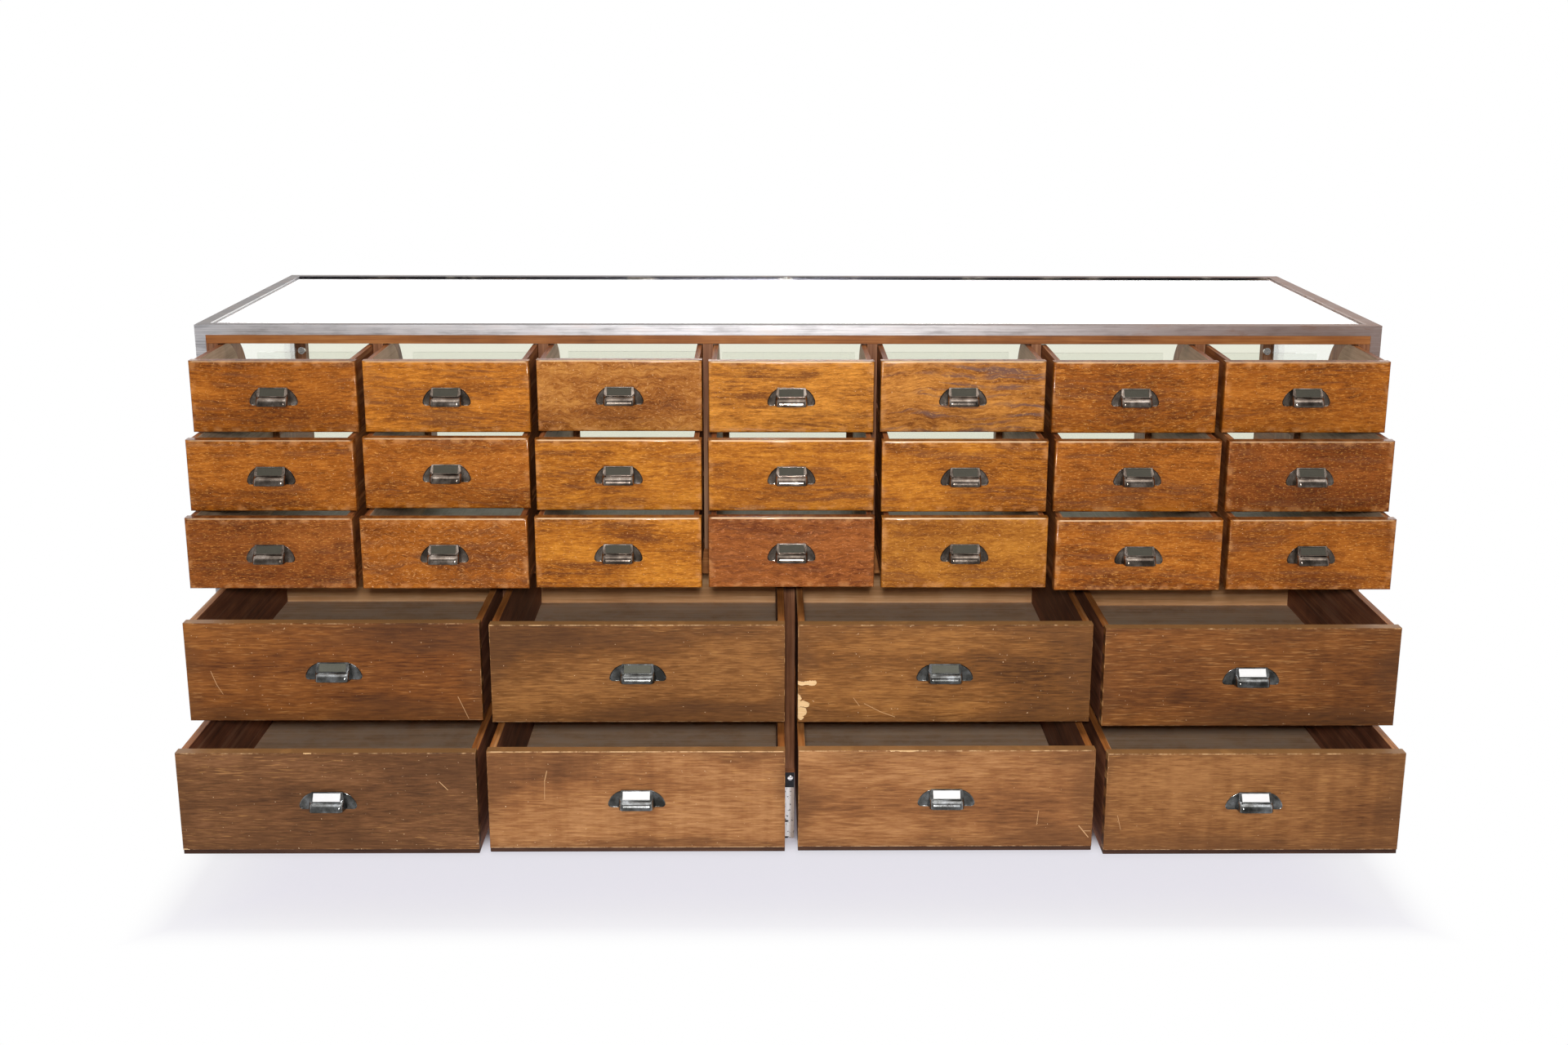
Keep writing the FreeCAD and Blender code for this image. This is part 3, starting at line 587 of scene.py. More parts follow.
# Marks on the large fronts, in mm from the lower left corner: a start, an end and a width.
SCRATCHES = {
    (4, 1): [(39, 85, 47, 62, 0.6), (47, 62, 56, 46, 0.5), (435, 41, 451, 3, 0.6)],
    (4, 3): [(108, 32, 134, 18, 0.6), (134, 18, 158, 9, 0.6), (90, 42, 100, 28, 0.5)],
    (5, 1): [(415, 117, 428, 103, 0.8)],
    (5, 2): [(95, 133, 91, 116, 0.8), (91, 116, 90, 84, 0.5)],
    (5, 3): [(452, 36, 468, 16, 1.0), (460, 27, 471, 27, 0.7), (386, 62, 384, 38, 0.6)],
    (5, 4): [(20, 60, 26, 36, 0.5)],
}
CHIPS = {
    (4, 3): [
        (-2, 67.5, 26, 67, 4.4), (-1, 46, 2, 41, 5), (0, 32, 14, 31, 6.5),
        (-1, 20, 8, 18, 8.5), (0, 10, 5, 8, 5),
    ],
    (5, 1): [(-1, 0, 9, -1, 4), (203, 166, 214, 166, 2)],
    (5, 3): [(146, 166, 190, 166.4, 1.9)],
}
DOVETAIL_PITCH = 32 * MM
LAP = 4 * MM


def large_front_veneer(row, column):
    """Dull veneer with fine level grain, a faint upright figure, pale worn edges and dovetails
    on its ends."""
    shades, figured, wear = LARGE_LOOKS[row, column]
    finish = Finish(f"veneer_front_{row}_{column}")
    places = on_front(finish, row, column, LARGE_HEIGHT)
    from_left, up, depth, from_end, from_top, edge = places
    seed = 2.3 * row + 4.1 * column

    fibres = finish.noise((30, 12, 330), (seed, 0, seed), 4, 0.66)
    sway = finish.noise((4, 1, 6), (seed, 0, seed), 2)
    swayed = finish.lifted((sway - 0.5) * 0.03)
    bands = finish.noise((3, 2, 44), (seed, 0, 0), 4, source=swayed)
    figure = finish.noise((64, 1, 5), (seed, 0, 0), 2)
    patches = finish.noise((4, 3, 11), (0, 0, seed))
    ground = fibres * 0.46 + bands * (0.18 - figured) + figure * figured + patches * 0.36
    dulled = (edge + (patches - 0.5) * 0.16).between(40 * MM, 2 * MM)
    streaks = finish.noise((36, 20, 640), (0, 0, seed)).between(0.57, 0.7)
    streaks = streaks * patches.between(0.36, 0.56)
    dots = finish.noise((300, 200, 300), (seed, 0, 0), 1)

    rubbed = finish.noise((70, 9, 70), (seed, 0, 0), 5, 0.7)
    below = 0.66 - 0.26 * wear
    worn = rubbed.between(below - 0.08, below + 0.16) * (0.6 + 0.35 * wear)
    top_line = from_top.between(1.9 * MM, 0.9 * MM)
    lower_line = up.between(2.2 * MM, 1.0 * MM) * (0.9 if row == LOWEST_ROW else 0.5)
    line = top_line.most(lower_line) * depth.between(1.8 * MM, 1.2 * MM)
    line = line * from_end.between(0.0, 3 * MM)
    upright_line = from_end.between(1.6 * MM, 0.7 * MM) * rubbed.between(0.5, 0.62)
    layers = [
        (dulled * 0.4, (94, 60, 32)),
        (streaks * 0.4, (206, 150, 86)),
        (dots.between(0.77, 0.81) * 0.8, (236, 204, 158)),
        (line * worn, (222, 180, 130)),
        (upright_line * 0.6, (206, 156, 100)),
    ]

    relief = fibres - streaks * 0.4
    for mark in SCRATCHES.get((row, column), []):
        layers.append((finish.stroke(from_left, up, mark) * 0.7, (222, 178, 126)))
    if (row, column) in CHIPS:
        ragged = (finish.noise((150, 80, 190), (seed, 0, 0), 4) - 0.5) * (7 * MM)
        across, upward = from_left + ragged, up + ragged
        chips = [finish.stroke(across, upward, mark) for mark in CHIPS[row, column]]
        bared = reduce(Wire.most, chips)
        bared = bared.between(0.2, 0.5) * depth.between(2.6 * MM, 1.6 * MM)
        bare_wood = finish.mix(fibres.between(0.3, 0.7), (238, 202, 150), (224, 180, 124))
        layers.append((bared, bare_wood))
        relief = relief - bared * 2.0

    tooth = abs((up * (1 / DOVETAIL_PITCH)).teeth() - 0.5) * 2
    tail = (tooth + depth * 9).between(0.66, 0.6) * depth.between(LAP - 0.4 * MM, LAP + 0.4 * MM)
    at_end = from_end.between(0.5 * MM, 0.2 * MM)
    layers.append((at_end * tail * 0.85, (66, 38, 22)))
    on_top = from_top.between(0.5 * MM, 0.2 * MM) * depth.between(MM, 2 * MM)
    layers.append((on_top * 0.5, (178, 132, 82)))
    return finish.surface(
        Base_Color=finish.layered(finish.ramp(ground, (0.37, 0.5, 0.63), shades), *layers),
        Roughness=0.44 + fibres * 0.2,
        Normal=finish.bump(relief, 0.2, 0.3 * MM),
        Specular_IOR_Level=0.2,
        Coat_Weight=0.06,
        Coat_Roughness=0.3,
    )


# ---- plain boards: shades, the way of the grain, roughness, worn places and dust ----

ALONG_GRAIN, ACROSS_GRAIN = 7, 260
WOODS = {
    "small_side": (((84, 44, 24), (138, 80, 42), (188, 122, 68)), "Y", 0.5, (196, 142, 96)),
    "small_inside": (((152, 124, 98), (186, 155, 126), (214, 186, 158)), "Y", 0.5),
    "small_bottom": (
        ((96, 88, 76), (130, 121, 106), (158, 150, 134)), "Y", 0.5, None, (146, 144, 134)
    ),
    "large_side": (((76, 40, 26), (124, 74, 50), (168, 110, 76)), "Y", 0.5, (160, 114, 88)),
    "large_bottom": (
        ((158, 122, 92), (198, 160, 126), (222, 190, 158)), "X", 0.6, None, (204, 178, 154)
    ),
    "large_back": (((176, 124, 76), (214, 162, 112), (234, 192, 146)), "X", 0.6),
    # Upward faces of the large boxes: lighter, partly worn wood, partly painted light.
    "large_edge": (((120, 66, 28), (176, 108, 52), (214, 150, 88)), "Y", 0.5, (226, 176, 124)),
    "toe": (((42, 24, 16), (68, 42, 28), (96, 64, 44)), "X", 0.5),
    "post": (((84, 46, 26), (132, 84, 54), (172, 122, 86)), "Z", 0.38, (180, 140, 108)),
    "rail": (((104, 56, 22), (154, 94, 46), (190, 128, 70)), "X", 0.42),
    "inner": (((78, 46, 30), (112, 68, 42), (150, 98, 62)), "Y", 0.5),
    "panel": (((90, 52, 28), (128, 78, 42), (168, 110, 62)), "X", 0.42),
    "end_panel": (((92, 54, 30), (128, 80, 44), (164, 108, 62)), "Y", 0.42),
}


def plain_wood(name, shades, along, roughness, wear=None, dust=None):
    """Plain boards with grain along one direction, and worn or dusty places."""
    finish = Finish(name)
    scale = [ALONG_GRAIN if axis == along else ACROSS_GRAIN for axis in "XYZ"]
    fibres = finish.noise(scale, detail=4, roughness=0.65)
    bands = finish.noise([part * 0.16 for part in scale])
    patches = finish.noise(11.0, roughness=0.6)
    ground = fibres * 0.4 + bands * 0.35 + patches * 0.25
    tinted = finish.ramp(ground, (0.36, 0.5, 0.64), shades)
    if wear:
        spots = finish.noise([part * 0.35 for part in scale], detail=4)
        tinted = finish.mix(spots.between(0.56, 0.7) * 0.6, tinted, wear)
    if dust:
        settled = finish.noise(24.0, detail=5, roughness=0.7)
        tinted = finish.mix(settled.between(0.35, 0.7) * 0.7, tinted, dust)
    return finish.surface(
        Base_Color=tinted,
        Roughness=roughness + fibres * 0.14,
        Normal=finish.bump(fibres + bands * 0.5, 0.2, 0.3 * MM),
        Specular_IOR_Level=0.25,
    )


# ---- metals, cards and glass ----

def brushed_steel(name, shades, metallic=0.75, roughness=0.26):
    """Nickelled steel, dulled and brushed along its length, browner towards the right."""
    finish = Finish(name)
    lines = finish.noise((9, 900, 900), roughness=0.6)
    blotches = finish.noise((14, 30, 60), detail=4, roughness=0.65)
    browned = finish.along(0).between(0.0, 0.98) * 0.9 + blotches.between(0.5, 0.72) * 0.35
    tinted = finish.ramp(lines * 0.5 + blotches * 0.5, (0.35, 0.5, 0.66), shades)
    return finish.surface(
        Base_Color=finish.mix(browned * 0.8, tinted, (150, 114, 96)),
        Metallic=metallic,
        Roughness=roughness + blotches * 0.3,
        Specular_IOR_Level=0.2,
        Normal=finish.bump(lines, 0.12, 0.15 * MM),
    )


def polished_steel(name, low, high):
    """The customer's side of the steel: glossy, with a few bright places."""
    finish = Finish(name)
    blotches = finish.noise((9, 20, 20), roughness=0.6)
    bright = blotches.between(0.56, 0.64)
    tinted = finish.mix(bright, low, high)
    return finish.surface(Base_Color=tinted, Metallic=1.0, Roughness=0.24 - bright * 0.14)


def pitted_nickel():
    """Bright nickel on the legs, flaked to black at the left edge, with a painted highlight that is
    near white on the left and painted shade that greys it towards the right.
    """
    finish = Finish("leg_nickel")
    spots = finish.noise(150.0, detail=4, roughness=0.7)
    across, up = finish.along(0), finish.along(2)
    to_left = across.between(-4 * MM, -10 * MM)
    pits = (spots + to_left * 0.1).between(0.6, 0.64)
    marks = abs(up - 35 * MM).least(abs(up - 3 * MM)).between(2.4 * MM, 1.4 * MM)
    pits = pits.most(marks * across.between(2 * MM, -2 * MM))
    # Painted highlight and shade: near white on the left, greyer to the right.
    tinted = finish.mix(across.between(-2 * MM, 7 * MM), (255, 254, 252), (176, 160, 148))
    return finish.surface(
        Base_Color=finish.mix(pits, tinted, (36, 34, 36)),
        Metallic=0.2 - pits * 0.1,
        Roughness=0.28 + pits * 0.4,
        Normal=finish.bump(1.0 - pits, 0.3, 0.2 * MM),
    )


def dark_nickel(name, shades):
    """The cup pulls: glossy nickel, tarnished in clouds and small specks."""
    finish = Finish(name)
    clouds = finish.noise(45.0, roughness=0.6)
    specks = finish.noise(420.0)
    tinted = finish.ramp(clouds, (0.35, 0.52, 0.7), shades)
    return finish.surface(
        Base_Color=finish.mix(specks.between(0.58, 0.7) * 0.5, tinted, (40, 32, 28)),
        Metallic=1.0,
        Roughness=0.14 + clouds * 0.16,
        Normal=finish.bump(specks, 0.05, 0.1 * MM),
    )


def black_iron():
    finish = Finish("bracket_iron")
    clouds = finish.noise(90.0, detail=4, roughness=0.65)
    return finish.surface(
        Base_Color=finish.mix(clouds.between(0.45, 0.75), (20, 22, 28), (44, 44, 50)),
        Metallic=0.3,
        Roughness=0.4 + clouds * 0.2,
        Normal=finish.bump(clouds, 0.2, 0.2 * MM),
    )


def bright_nickel():
    """The bracket's screw and the clips on the rear posts."""
    finish = Finish("screw_nickel")
    clouds = finish.noise(300.0)
    tinted = finish.mix(clouds, (200, 198, 198), (232, 230, 230))
    return finish.surface(Base_Color=tinted, Metallic=0.9, Roughness=0.22 + clouds * 0.1)


def card_stock(name, light, dark):
    """A slip of card: white, or darkened where no label is written."""
    finish = Finish(name)
    grain = finish.noise(500.0)
    clouds = finish.noise(70.0)
    tinted = finish.mix((grain + clouds) * 0.5, light, dark)
    return finish.surface(Base_Color=tinted, Roughness=0.6 + grain * 0.2)


def clear_glass(name, tint):
    """Thin clear glass: what is behind it shows through, and it mirrors more at a low angle."""
    finish = Finish(name)
    smears = finish.noise((3, 6, 3), detail=4, roughness=0.6)
    facing = finish.node("ShaderNodeLayerWeight", None, {"Blend": 0.5}, "Facing")
    share = facing**5.0 * 0.9 + 0.03 + smears.between(0.6, 0.8) * 0.02
    through = finish.node("ShaderNodeBsdfTransparent", None, {"Color": tint})
    mirror = finish.node("ShaderNodeBsdfGlossy", None, {"Color": WHITE, "Roughness": 0.02})
    return finish.output(finish.node("ShaderNodeMixShader", None, (share, through, mirror)))


# ---- drawers' fronts and boxes ----

def model_front(row, thickness, height, rounding, segments, easing):
    """A board, rounded round its face and eased round its back."""
    half = drawer_half(row)
    front = block("front", (-half, half), (0, thickness), (0, height))
    begin(front)
    round_edges(front, lambda middle, way: near(middle.y, 0), rounding, segments)
    round_edges(front, lambda middle, way: near(middle.y, thickness), easing)
    end()
    smooth(front)
    return front


def model_small_side(row, hand, woods):
    """One side: its top rounds down to the low tail, its outer face has the groove, and its
    inner face is greyed."""
    outer = hand * (drawer_half(row) - SMALL_OVERLAP)
    inner = outer - hand * SMALL_SIDE
    start, length = SMALL_FRONT, SMALL_LENGTH[row]
    curve_end = length - SIDE_TAIL[row]
    across = sorted((inner, outer))
    side = block("small_side", across, (start, curve_end), (0, SMALL_HEIGHT))

    def top_of_end(middle, way):
        return near(middle.y, curve_end) and near(middle.z, SMALL_HEIGHT)

    begin(side)
    round_edges(side, top_of_end, SIDE_CURVE, 14)
    choose(side, "FACE", lambda middle, normal: near(middle.y, curve_end) and normal.y > 0.99)
    bpy.ops.mesh.extrude_region_move(TRANSFORM_OT_translate={"value": (0, SIDE_TAIL[row], 0)})
    end()
    across = sorted((outer - hand * GROOVE_DEPTH, outer + hand * PAST))
    cut(side, block("groove", across, (start - PAST, length + PAST), GROOVE))
    ease(side, SMALL_EASE)
    paint(side, woods["small_side"])
    paint_faces(side, woods["small_inside"], lambda middle, normal: normal.x * hand < -0.9)
    return side


def model_small_box(row, woods):
    """Sides, bottom and the strips that hold the glass tail."""
    sides = [model_small_side(row, hand, woods) for hand in (1, -1)]
    inner = drawer_half(row) - SMALL_OVERLAP - SMALL_SIDE
    length = SMALL_LENGTH[row]
    bottom = block("bottom", (-inner, inner), (SMALL_FRONT, length), (0, SMALL_BOTTOM))
    pieces = [bottom]
    if row == TOP_ROW:
        wide, tall = BEAD, SMALL_HEIGHT - SIDE_CURVE
    else:
        wide, tall = CORNER_STRIP, PANE_TOP
    for hand in (1, -1):
        x = sorted((hand * (inner - wide), hand * inner))
        pieces.append(block("tail_strip", x, (length - BEAD, length), (SMALL_BOTTOM, tall)))
    for piece in pieces:
        ease(piece, SMALL_EASE)
        paint(piece, woods["small_bottom" if piece == bottom else "small_side"])
    box = joined("small_box", sides + pieces)
    smooth(box)
    return box


def model_small_pane(row):
    inner = drawer_half(row) - SMALL_OVERLAP - SMALL_SIDE - PANE_PLAY
    back = SMALL_LENGTH[row] - BEAD
    pane = block("pane", (-inner, inner), (back - PANE, back), (SMALL_BOTTOM, PANE_TOP))
    begin(pane)
    round_edges(pane, lambda middle, way: True, PANE_EASE)
    end()
    return pane


def model_large_box(row, woods):
    """Sides, bottom and back; the lowest row also has skids and a strip under its front."""
    half = drawer_half(row)
    inner = half - LARGE_SIDE
    side_top = LARGE_HEIGHT - LARGE_SIDE_DROP
    start, back_face = LARGE_FRONT, LARGE_LENGTH - LARGE_BACK
    pieces = []
    for hand in (1, -1):
        x = sorted((hand * inner, hand * half))
        pieces.append(block("large_side", x, (start, LARGE_LENGTH), (0, side_top)))
    across = (-inner, inner)
    pieces.append(block("large_bottom", across, (start, back_face), LARGE_BOTTOM))
    level = (0, side_top - LARGE_BACK_DROP)
    pieces.append(block("large_back", across, (back_face, LARGE_LENGTH), level))
    if row == LOWEST_ROW:
        under = (-SKID_HEIGHT, 0)
        for hand in (1, -1):
            x = sorted((hand * (half - SKID_WIDTH), hand * half))
            pieces.append(block("skid", x, (start, LARGE_LENGTH), under))
        pieces.append(block("toe", (-half, half), (TOE_SET_BACK, start), under))
    for piece in pieces:
        ease(piece, LARGE_EASE)
        kind = piece.name.split(".")[0]
        paint(piece, woods.get(kind, woods["large_side"]))
        if kind in ("large_side", "large_back"):
            # upward faces take a lighter wood: partly wear, partly painted light
            paint_faces(piece, woods["large_edge"], lambda middle, normal: normal.z > 0.9)
    box = joined("large_box", pieces)
    smooth(box)
    return box


# ---- pulls ----

def hood_front(height):
    """The hood's outer face at a height: the lip's arc below, the sloping label above."""
    if height <= LABEL_LOW.z:
        return LIP_CENTRE.y - math.sqrt(LIP_RADIUS**2 - (height - LIP_CENTRE.z) ** 2)
    share = (height - LABEL_LOW.z) / (LABEL_HIGH.z - LABEL_LOW.z)
    return LABEL_LOW.lerp(LABEL_HIGH, share).y


def hood_half(size, out, height):
    """Half the hood's width at a way out from the front and a height: its cheeks slope in
    towards the lip and towards the top."""
    base, top, front = (PULLS[size][part] for part in ("base", "top", "front"))
    by_height = base - (base - top) * height / PULL_HEIGHT
    by_depth = base - (base - front) * out / PULL_PROJECTION
    return min(by_height, by_depth) / 2


def model_hood(size):
    """The hollow hood: bent from sheet, its cheeks sloping in and its lip corners rounded."""
    half = PULLS[size]["base"] / 2
    hood = block("hood", (-half, half), (-PULL_PROJECTION, 0), (LIP_LOW, PULL_HEIGHT))
    begin(hood)
    choose(hood, "FACE", lambda middle, normal: near(middle.z, LIP_LOW) or near(middle.y, 0))
    bpy.ops.mesh.delete(type="FACE")
    levels = [LIP_LOW + (LABEL_LOW.z - LIP_LOW) * share for share in LIP_LEVELS]
    for level in levels:
        bpy.ops.mesh.select_all(action="SELECT")
        bpy.ops.mesh.bisect(plane_co=(0, 0, level), plane_no=(0, 0, 1))
    for level in [LIP_LOW, *levels, PULL_HEIGHT]:
        for out in (-hood_front(level), 0):
            choose(
                hood,
                "VERT",
                lambda place: near(place.z, level) and (place.y < -MM) == (out > 0),
            )
            if out:
                bpy.ops.transform.translate(value=(0, PULL_PROJECTION - out, 0))
            narrower = hood_half(size, out, level) / half
            bpy.ops.transform.resize(value=(narrower, 1, 1), center_override=(0, 0, 0))

    def on_corner(middle, way):
        out = -hood_front(middle.z)
        return (
            middle.z < LABEL_LOW.z
            and abs(way.z) > 0.3
            and near(middle.y, -out, 0.6 * MM)
            and near(abs(middle.x), hood_half(size, out, middle.z), 0.6 * MM)
        )

    round_edges(hood, on_corner, LIP_CORNER, 5)
    end()
    finish_with(hood, "SOLIDIFY", thickness=SHEET, offset=-1)
    ease(hood, SHEET_EASE)
    return hood


def model_ear(size, hand):
    """A dished ear with a raised rim and a rounded lower corner."""
    whole, top = PULLS[size]["width"], PULLS[size]["top"]
    reach = (whole - top) / 2
    radius = (reach**2 + EAR_HEIGHT**2) / (2 * reach)
    place = (hand * (whole / 2 - radius), -SHEET / 2, 0)
    ear = rod("ear", radius, SHEET, place, FACING_FRONT, 72)
    begin(ear)
    under_hood = (hand * (top / 2 - MM), 0, 0)
    for at, kept in (((0, 0, 0), (0, 0, 1)), (under_hood, (hand, 0, 0))):
        bpy.ops.mesh.select_all(action="SELECT")
        bpy.ops.mesh.bisect(plane_co=at, plane_no=kept, clear_inner=True, use_fill=True)

    def low_on_arc(middle, way):
        return abs(way.y) > 0.9 and MM < middle.z < 0.9 * EAR_CORNER

    def at_corner(middle, way):
        lowest = near(middle.z, 0) and near(middle.x, hand * whole / 2, 0.5 * MM)
        return abs(way.y) > 0.9 and lowest

    choose(ear, "EDGE", low_on_arc)
    bpy.ops.mesh.dissolve_edges()
    round_edges(ear, at_corner, EAR_CORNER, 5)
    choose(ear, "FACE", lambda middle, normal: normal.y < -0.9)
    bpy.ops.mesh.inset(thickness=EAR_RIM, depth=0)
    bpy.ops.transform.translate(value=(0, EAR_DISH, 0))
    end()
    ease(ear, EAR_EASE, 1)
    return ear


def on_label(out, lift):
    """A point on the label's middle line, a way up its slope and a height off its face."""
    up_slope = (LABEL_HIGH - LABEL_LOW).normalized()
    off_face = Vector((0, -up_slope.z, up_slope.y))
    return LABEL_LOW + up_slope * out + off_face * lift


def label_slab(name, width, low, high, margin):
    """A thin slab that lies on the label's slope."""
    slope = LABEL_HIGH - LABEL_LOW
    middle = on_label(slope.length / 2, (low + high) / 2)
    size = (width, slope.length - 2 * margin, high - low)
    return slab(name, middle, size, (math.atan2(slope.z, slope.y), 0, 0))


def model_label_frame(size):
    """The thin raised frame that holds the card."""
    width = PULLS[size]["label"]
    rim = label_slab("label_frame", width, -LABEL_SINK, LABEL_RISE, LABEL_MARGIN)
    cut(rim, label_slab("window", width - 2 * LABEL_RIM, -MM, 3 * MM, LABEL_RIM))
    ease(rim, LABEL_RIM_EASE)
    return rim


def model_label_bar(size):
    """The rolled lower bar of the label's frame."""
    place = on_label(LABEL_BAR, LABEL_BAR_RISE)
    bar = rod("label_bar", LABEL_BAR, PULLS[size]["label"], place, FACING_SIDE, 16)
    ease(bar, 0.3 * MM)
    return bar


def model_pull(size):
    ears = [model_ear(size, hand) for hand in (1, -1)]
    pieces = [model_hood(size), *ears, model_label_frame(size), model_label_bar(size)]
    pull = joined(f"{size}_pull", pieces)
    smooth(pull, 32)
    return pull


def model_card(size):
    play = LABEL_RIM + CARD_PLAY
    width = PULLS[size]["label"] - 2 * play
    card = label_slab("card", width, CARD_LOW, CARD_HIGH, play)
    ease(card, 0.15 * MM, 1)
    return card


# ---- putting the drawers in ----

def body_name(node):
    """The moving body that carries a node of the frame."""
    return frame["nodes"][node].parent.name.removeprefix("body:")


def stand_for(piece, node):
    """Let a piece ride with a node's body and show in the node's place."""
    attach(piece, body_name(node))
    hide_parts(node)


def set_in(pattern, part, row, column, material=None, height=0.0):
    """Set a copy of a modelled piece into its drawer; it keeps its finish if none is given."""
    piece = own_copy(pattern, f"{part}_{row}_{column}")
    place = drawer_place(row, column) + Vector((0, 0, height))
    piece.data.transform(Matrix.Translation(place))
    if material:
        paint(piece, material)
    stand_for(piece, drawer_node(row, column))


def set_drawers(woods):
    fronts = {
        "small": model_front(
            SMALL_ROWS[0], SMALL_FRONT, SMALL_HEIGHT, SMALL_ROUND, 5, SMALL_BACK_EASE
        ),
        "large": model_front(
            LARGE_ROWS[0], LARGE_FRONT, LARGE_HEIGHT, LARGE_ROUND, 3, LARGE_BACK_EASE
        ),
    }
    boxes = {row: model_small_box(row, woods) for row in SMALL_ROWS}
    boxes.update({row: model_large_box(row, woods) for row in LARGE_ROWS})
    panes = {row: model_small_pane(row) for row in SMALL_ROWS}
    pulls = {size: model_pull(size) for size in PULLS}
    cards = {size: model_card(size) for size in PULLS}
    metals = {
        "small": dark_nickel("small_pull_nickel", ((88, 78, 70), (130, 117, 106), (172, 160, 150))),
        "large": dark_nickel("large_pull_nickel", ((84, 83, 80), (124, 124, 122), (166, 168, 170))),
    }
    white = card_stock("white_card", (246, 245, 243), (234, 232, 229))
    empty = {
        "small": card_stock("small_slot", (70, 66, 52), (46, 44, 34)),
        "large": card_stock("large_slot", (98, 98, 86), (70, 70, 58)),
    }
    glass = clear_glass("tail_glass", (252, 253, 252))
    for row, column, size in every_drawer():
        if size == "small":
            face, slot, whole = small_front_oak, "small_drawer_oak", SMALL_HEIGHT
        else:
            face, slot, whole = large_front_veneer, "large_drawer_wood", LARGE_HEIGHT
        height = (whole - PULL_HEIGHT) / 2 + PULL_RISE[size]
        card = white if (row, column) in WITH_CARD else empty[size]
        set_in(fronts[size], "front", row, column, face(row, column))
        set_in(boxes[row], "box", row, column)
        set_in(pulls[size], "pull", row, column, metals[size], height=height)
        set_in(cards[size], "card", row, column, card, height=height)
        if size == "small":
            set_in(panes[row], "pane", row, column, glass)
    for patterns in (fronts, boxes, panes, pulls, cards):
        for pattern in patterns.values():
            bpy.data.objects.remove(pattern)


# ---- carcase ----

CARCASE = {
    "end_stiles": "post", "top_rails": "rail", "small_partitions": "post",
    "drawer_battens": "inner", "middle_rail": "rail", "middle_deck": "inner",
    "centre_partition": "post", "side_partition_left": "post", "side_partition_right": "post",
    "lower_rails": "rail", "large_runners": "inner", "bottom_board": "panel",
    "customer_panel": "panel", "end_panel_left": "end_panel", "end_panel_right": "end_panel",
}


def eased_copy(node, width, material, segments=2):
    """A piece shaped like a node of the frame, with its sharp edges broken."""
    original = frame["nodes"][node]
    piece = own_copy(original, node + "_dressed")
    piece.parent = None
    piece.matrix_world = original.matrix_world
    for key in list(piece.keys()):
        del piece[key]
    begin(piece)
    bpy.ops.mesh.select_all(action="SELECT")
    bpy.ops.mesh.remove_doubles(threshold=0.005 * MM)
    bpy.ops.mesh.dissolve_limited(angle_limit=math.radians(0.5))
    end()
    ease(piece, width, segments)
    smooth(piece)
    paint(piece, material)
    stand_for(piece, node)
    return piece


def model_bracket_screw():
    """The round head, with its slot, that holds the front bracket."""
    low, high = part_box("leg_brackets")
    head = low[1] - SCREW_HEIGHT
    up = high[2] - SCREW_DROP
    place = (SCREW_ACROSS, low[1] - SCREW_HEIGHT / 2, up)
    screw = rod("bracket_screw", SCREW_RADIUS, SCREW_HEIGHT, place, FACING_FRONT)
    begin(screw)
    round_edges(
        screw, lambda middle, way: near(middle.y, head) and abs(way.y) < 0.1, SCREW_ROUND, 4
    )
    end()
    across = (SCREW_ACROSS - 6 * MM, SCREW_ACROSS + 6 * MM)
    level = (up - SCREW_SLOT_WIDTH / 2, up + SCREW_SLOT_WIDTH / 2)
    cut(screw, block("slot", across, (head - MM, head + SCREW_SLOT_DEPTH), level))
    smooth(screw)
    paint(screw, bright_nickel())
    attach(screw, body_name("leg_brackets"))


def dress_carcase(woods):
    for node, wood in CARCASE.items():
        eased_copy(node, CARCASE_EASE, woods[wood])
    steel = brushed_steel("frame_steel", ((172, 170, 172), (214, 212, 214), (244, 243, 245)))
    # The top faces' darker, duller steel: partly a duller finish, partly painted shade along the
    # glass.
    top_steel = brushed_steel(
        "top_steel", ((104, 98, 98), (132, 126, 124), (164, 158, 154)), 0.3, 0.45
    )
    rear_steel = polished_steel("rear_steel", (74, 74, 80), (226, 222, 216))
    post_steel = polished_steel("rear_post_steel", (190, 188, 188), (226, 225, 224))
    for side in ("front", "back", "left", "right"):
        rail = eased_copy(f"top_frame_{side}", STEEL_EASE, steel)
        # the top faces take the darker steel, partly painted shade
        paint_faces(rail, top_steel, lambda middle, normal: normal.z > 0.9)
        if side == "back":
            paint_faces(rail, rear_steel, lambda middle, normal: normal.y < -0.5)
    for corner in ("front_left", "front_right", "back_left", "back_right"):
        metal = post_steel if "back" in corner else steel
        eased_copy(f"corner_post_{corner}", STEEL_EASE, metal)
    nickel = pitted_nickel()
    for side in ("front", "back"):
        eased_copy(f"centre_leg_{side}", LEG_EASE, nickel)
    eased_copy("leg_brackets", IRON_EASE, black_iron(), 1)
    model_bracket_screw()
    eased_copy("glass_clips", IRON_EASE, bright_nickel(), 1)
    glass = clear_glass("clear_glass", (252, 253, 251))
    for node in ("glass_top", "glass_end_left", "glass_end_right"):
        paint(frame["nodes"][node], glass)
    paint(frame["nodes"]["glass_back"], clear_glass("old_glass", (246, 246, 237)))


# ---- floor, light and camera ----

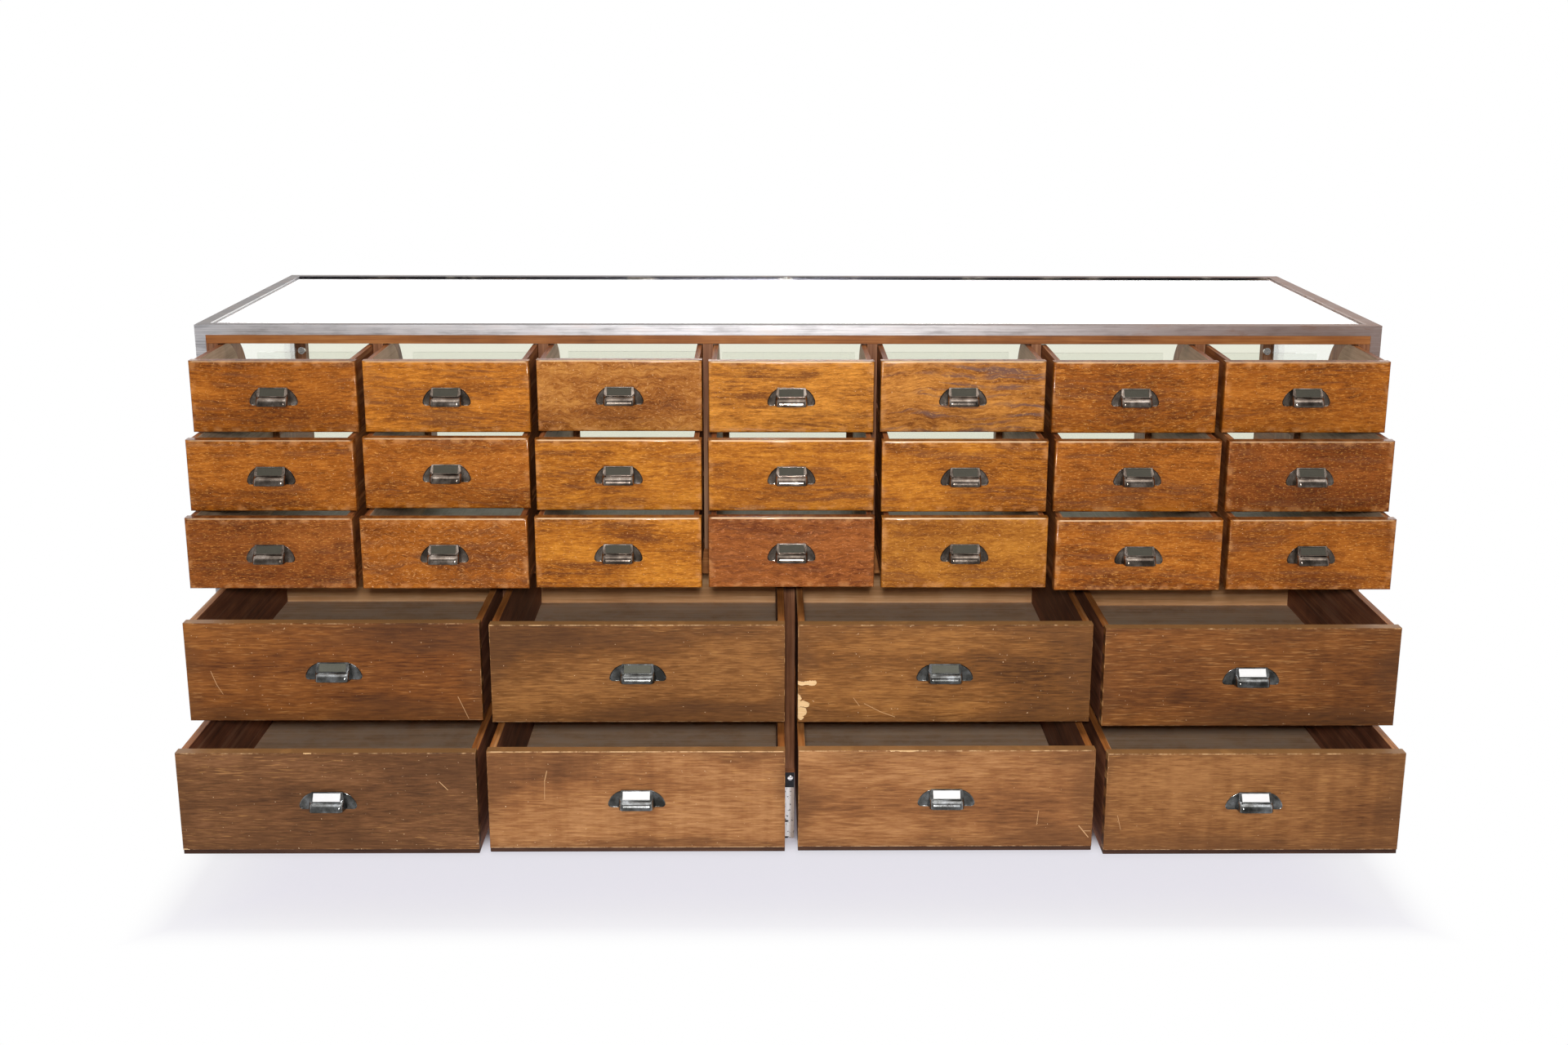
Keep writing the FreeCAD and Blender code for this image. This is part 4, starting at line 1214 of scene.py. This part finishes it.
FLOOR_SIZE = 60
PLAIN_LIGHT = 0.34  # the world's strength for light that neither gloss nor glass has turned
GLOSS_AT_FRONT = 0.2  # the strength that gloss finds on the drawers' side
LAMPS = {
    "ceiling_light": ((0.2, -1.4, 3.4), (0, -0.2, 0.5), (3.4, 1.4), 26),
    "front_light": ((-0.045, -3.25, 1.535), (0, -0.2, 0.5), (0.12, 0.12), 60),
    "back_light": ((0.0, 3.4, 2.0), (0, 0.3, 0.6), (9.0, 1.6), 60),
}
CAMERA_PLACE = (-0.0435, -3.1661, 1.4134)
CAMERA_TILT = math.radians(15.058)
CAMERA_YAW = math.radians(-0.642)
CAMERA_ROLL = math.radians(0.159)
LENS, SENSOR = 41.624, 36.0


def make_floor():
    """A pale floor that keeps the shadow near the object and runs into white further out."""
    bpy.ops.object.select_all(action="DESELECT")
    bpy.ops.mesh.primitive_grid_add(x_subdivisions=8, y_subdivisions=8, size=FLOOR_SIZE)
    floor = settle("floor")
    finish = Finish("pale_floor")
    across, back = finish.along(0), finish.along(1)
    forward = 0.0 - back
    beside = abs(across).between(0.84, 1.1)
    away = beside.most(forward.between(0.31, 0.54)).most(back.between(0.3, 0.9))
    under = back.between(-0.2, -0.1) * back.between(0.54, 0.48) * abs(across).between(1.0, 0.94)
    colour = finish.mix(finish.noise(2.5, detail=4), (232, 230, 246), (240, 238, 250))
    matt = finish.node("ShaderNodeBsdfDiffuse", None, {"Color": colour})
    glossy = finish.ray("Glossy")
    mirrored_dark = forward.between(0.35, 0.95) * glossy * 0.64
    pale = finish.mix(mirrored_dark, finish.mix(away, (247, 246, 254), WHITE), BLACK)
    white = finish.node("ShaderNodeEmission", None, {"Color": pale, "Strength": 1.0})
    seen = finish.ray("Camera").most(glossy).most(finish.ray("Transmission"))
    share = away.most(0.75) * (1.0 - under) * seen
    paint(floor, finish.output(finish.node("ShaderNodeMixShader", None, (share, matt, white))))


def make_world():
    """White to the eye and behind glass; gloss finds it darker on the drawers' side."""
    world = bpy.data.worlds.new("studio")
    bpy.context.scene.world = world
    finish = Finish("studio", world)
    mirrored = finish.along(1).between(-0.75, -0.1) * (1.0 - GLOSS_AT_FRONT) + GLOSS_AT_FRONT
    other = (mirrored - PLAIN_LIGHT) * finish.ray("Glossy") + PLAIN_LIGHT
    seen = finish.ray("Camera").most(finish.ray("Transmission"))
    level = (1.0 - other) * seen + other
    light = finish.node("ShaderNodeBackground", None, {"Color": WHITE, "Strength": level})
    finish.output(light, "World")


def make_lamp(name, place, target, size, power):
    bpy.ops.object.light_add(type="AREA", location=place)
    lamp = bpy.context.object
    lamp.name = name
    lamp.data.shape = "RECTANGLE"
    lamp.data.size, lamp.data.size_y = size
    lamp.data.energy = power
    aim = Vector(target) - Vector(place)
    lamp.rotation_euler = aim.to_track_quat("-Z", "Y").to_euler()


def make_camera():
    bpy.ops.object.camera_add()
    camera = bpy.context.object
    camera.name = "camera"
    camera.data.lens = LENS
    camera.data.sensor_width = SENSOR
    camera.data.sensor_fit = "HORIZONTAL"
    turned = (
        Matrix.Rotation(CAMERA_YAW, 4, "Z")
        @ Matrix.Rotation(math.pi / 2 - CAMERA_TILT, 4, "X")
        @ Matrix.Rotation(CAMERA_ROLL, 4, "Z")
    )
    camera.matrix_world = Matrix.Translation(CAMERA_PLACE) @ turned
    bpy.context.scene.camera = camera


all_woods = {name: plain_wood(f"{name}_wood", *wood) for name, wood in WOODS.items()}
set_drawers(all_woods)
dress_carcase(all_woods)
make_floor()
make_world()
for lamp_name, lamp_settings in LAMPS.items():
    make_lamp(lamp_name, *lamp_settings)
make_camera()
bpy.context.scene.view_settings.view_transform = "Standard"
bpy.ops.object.select_all(action="DESELECT")
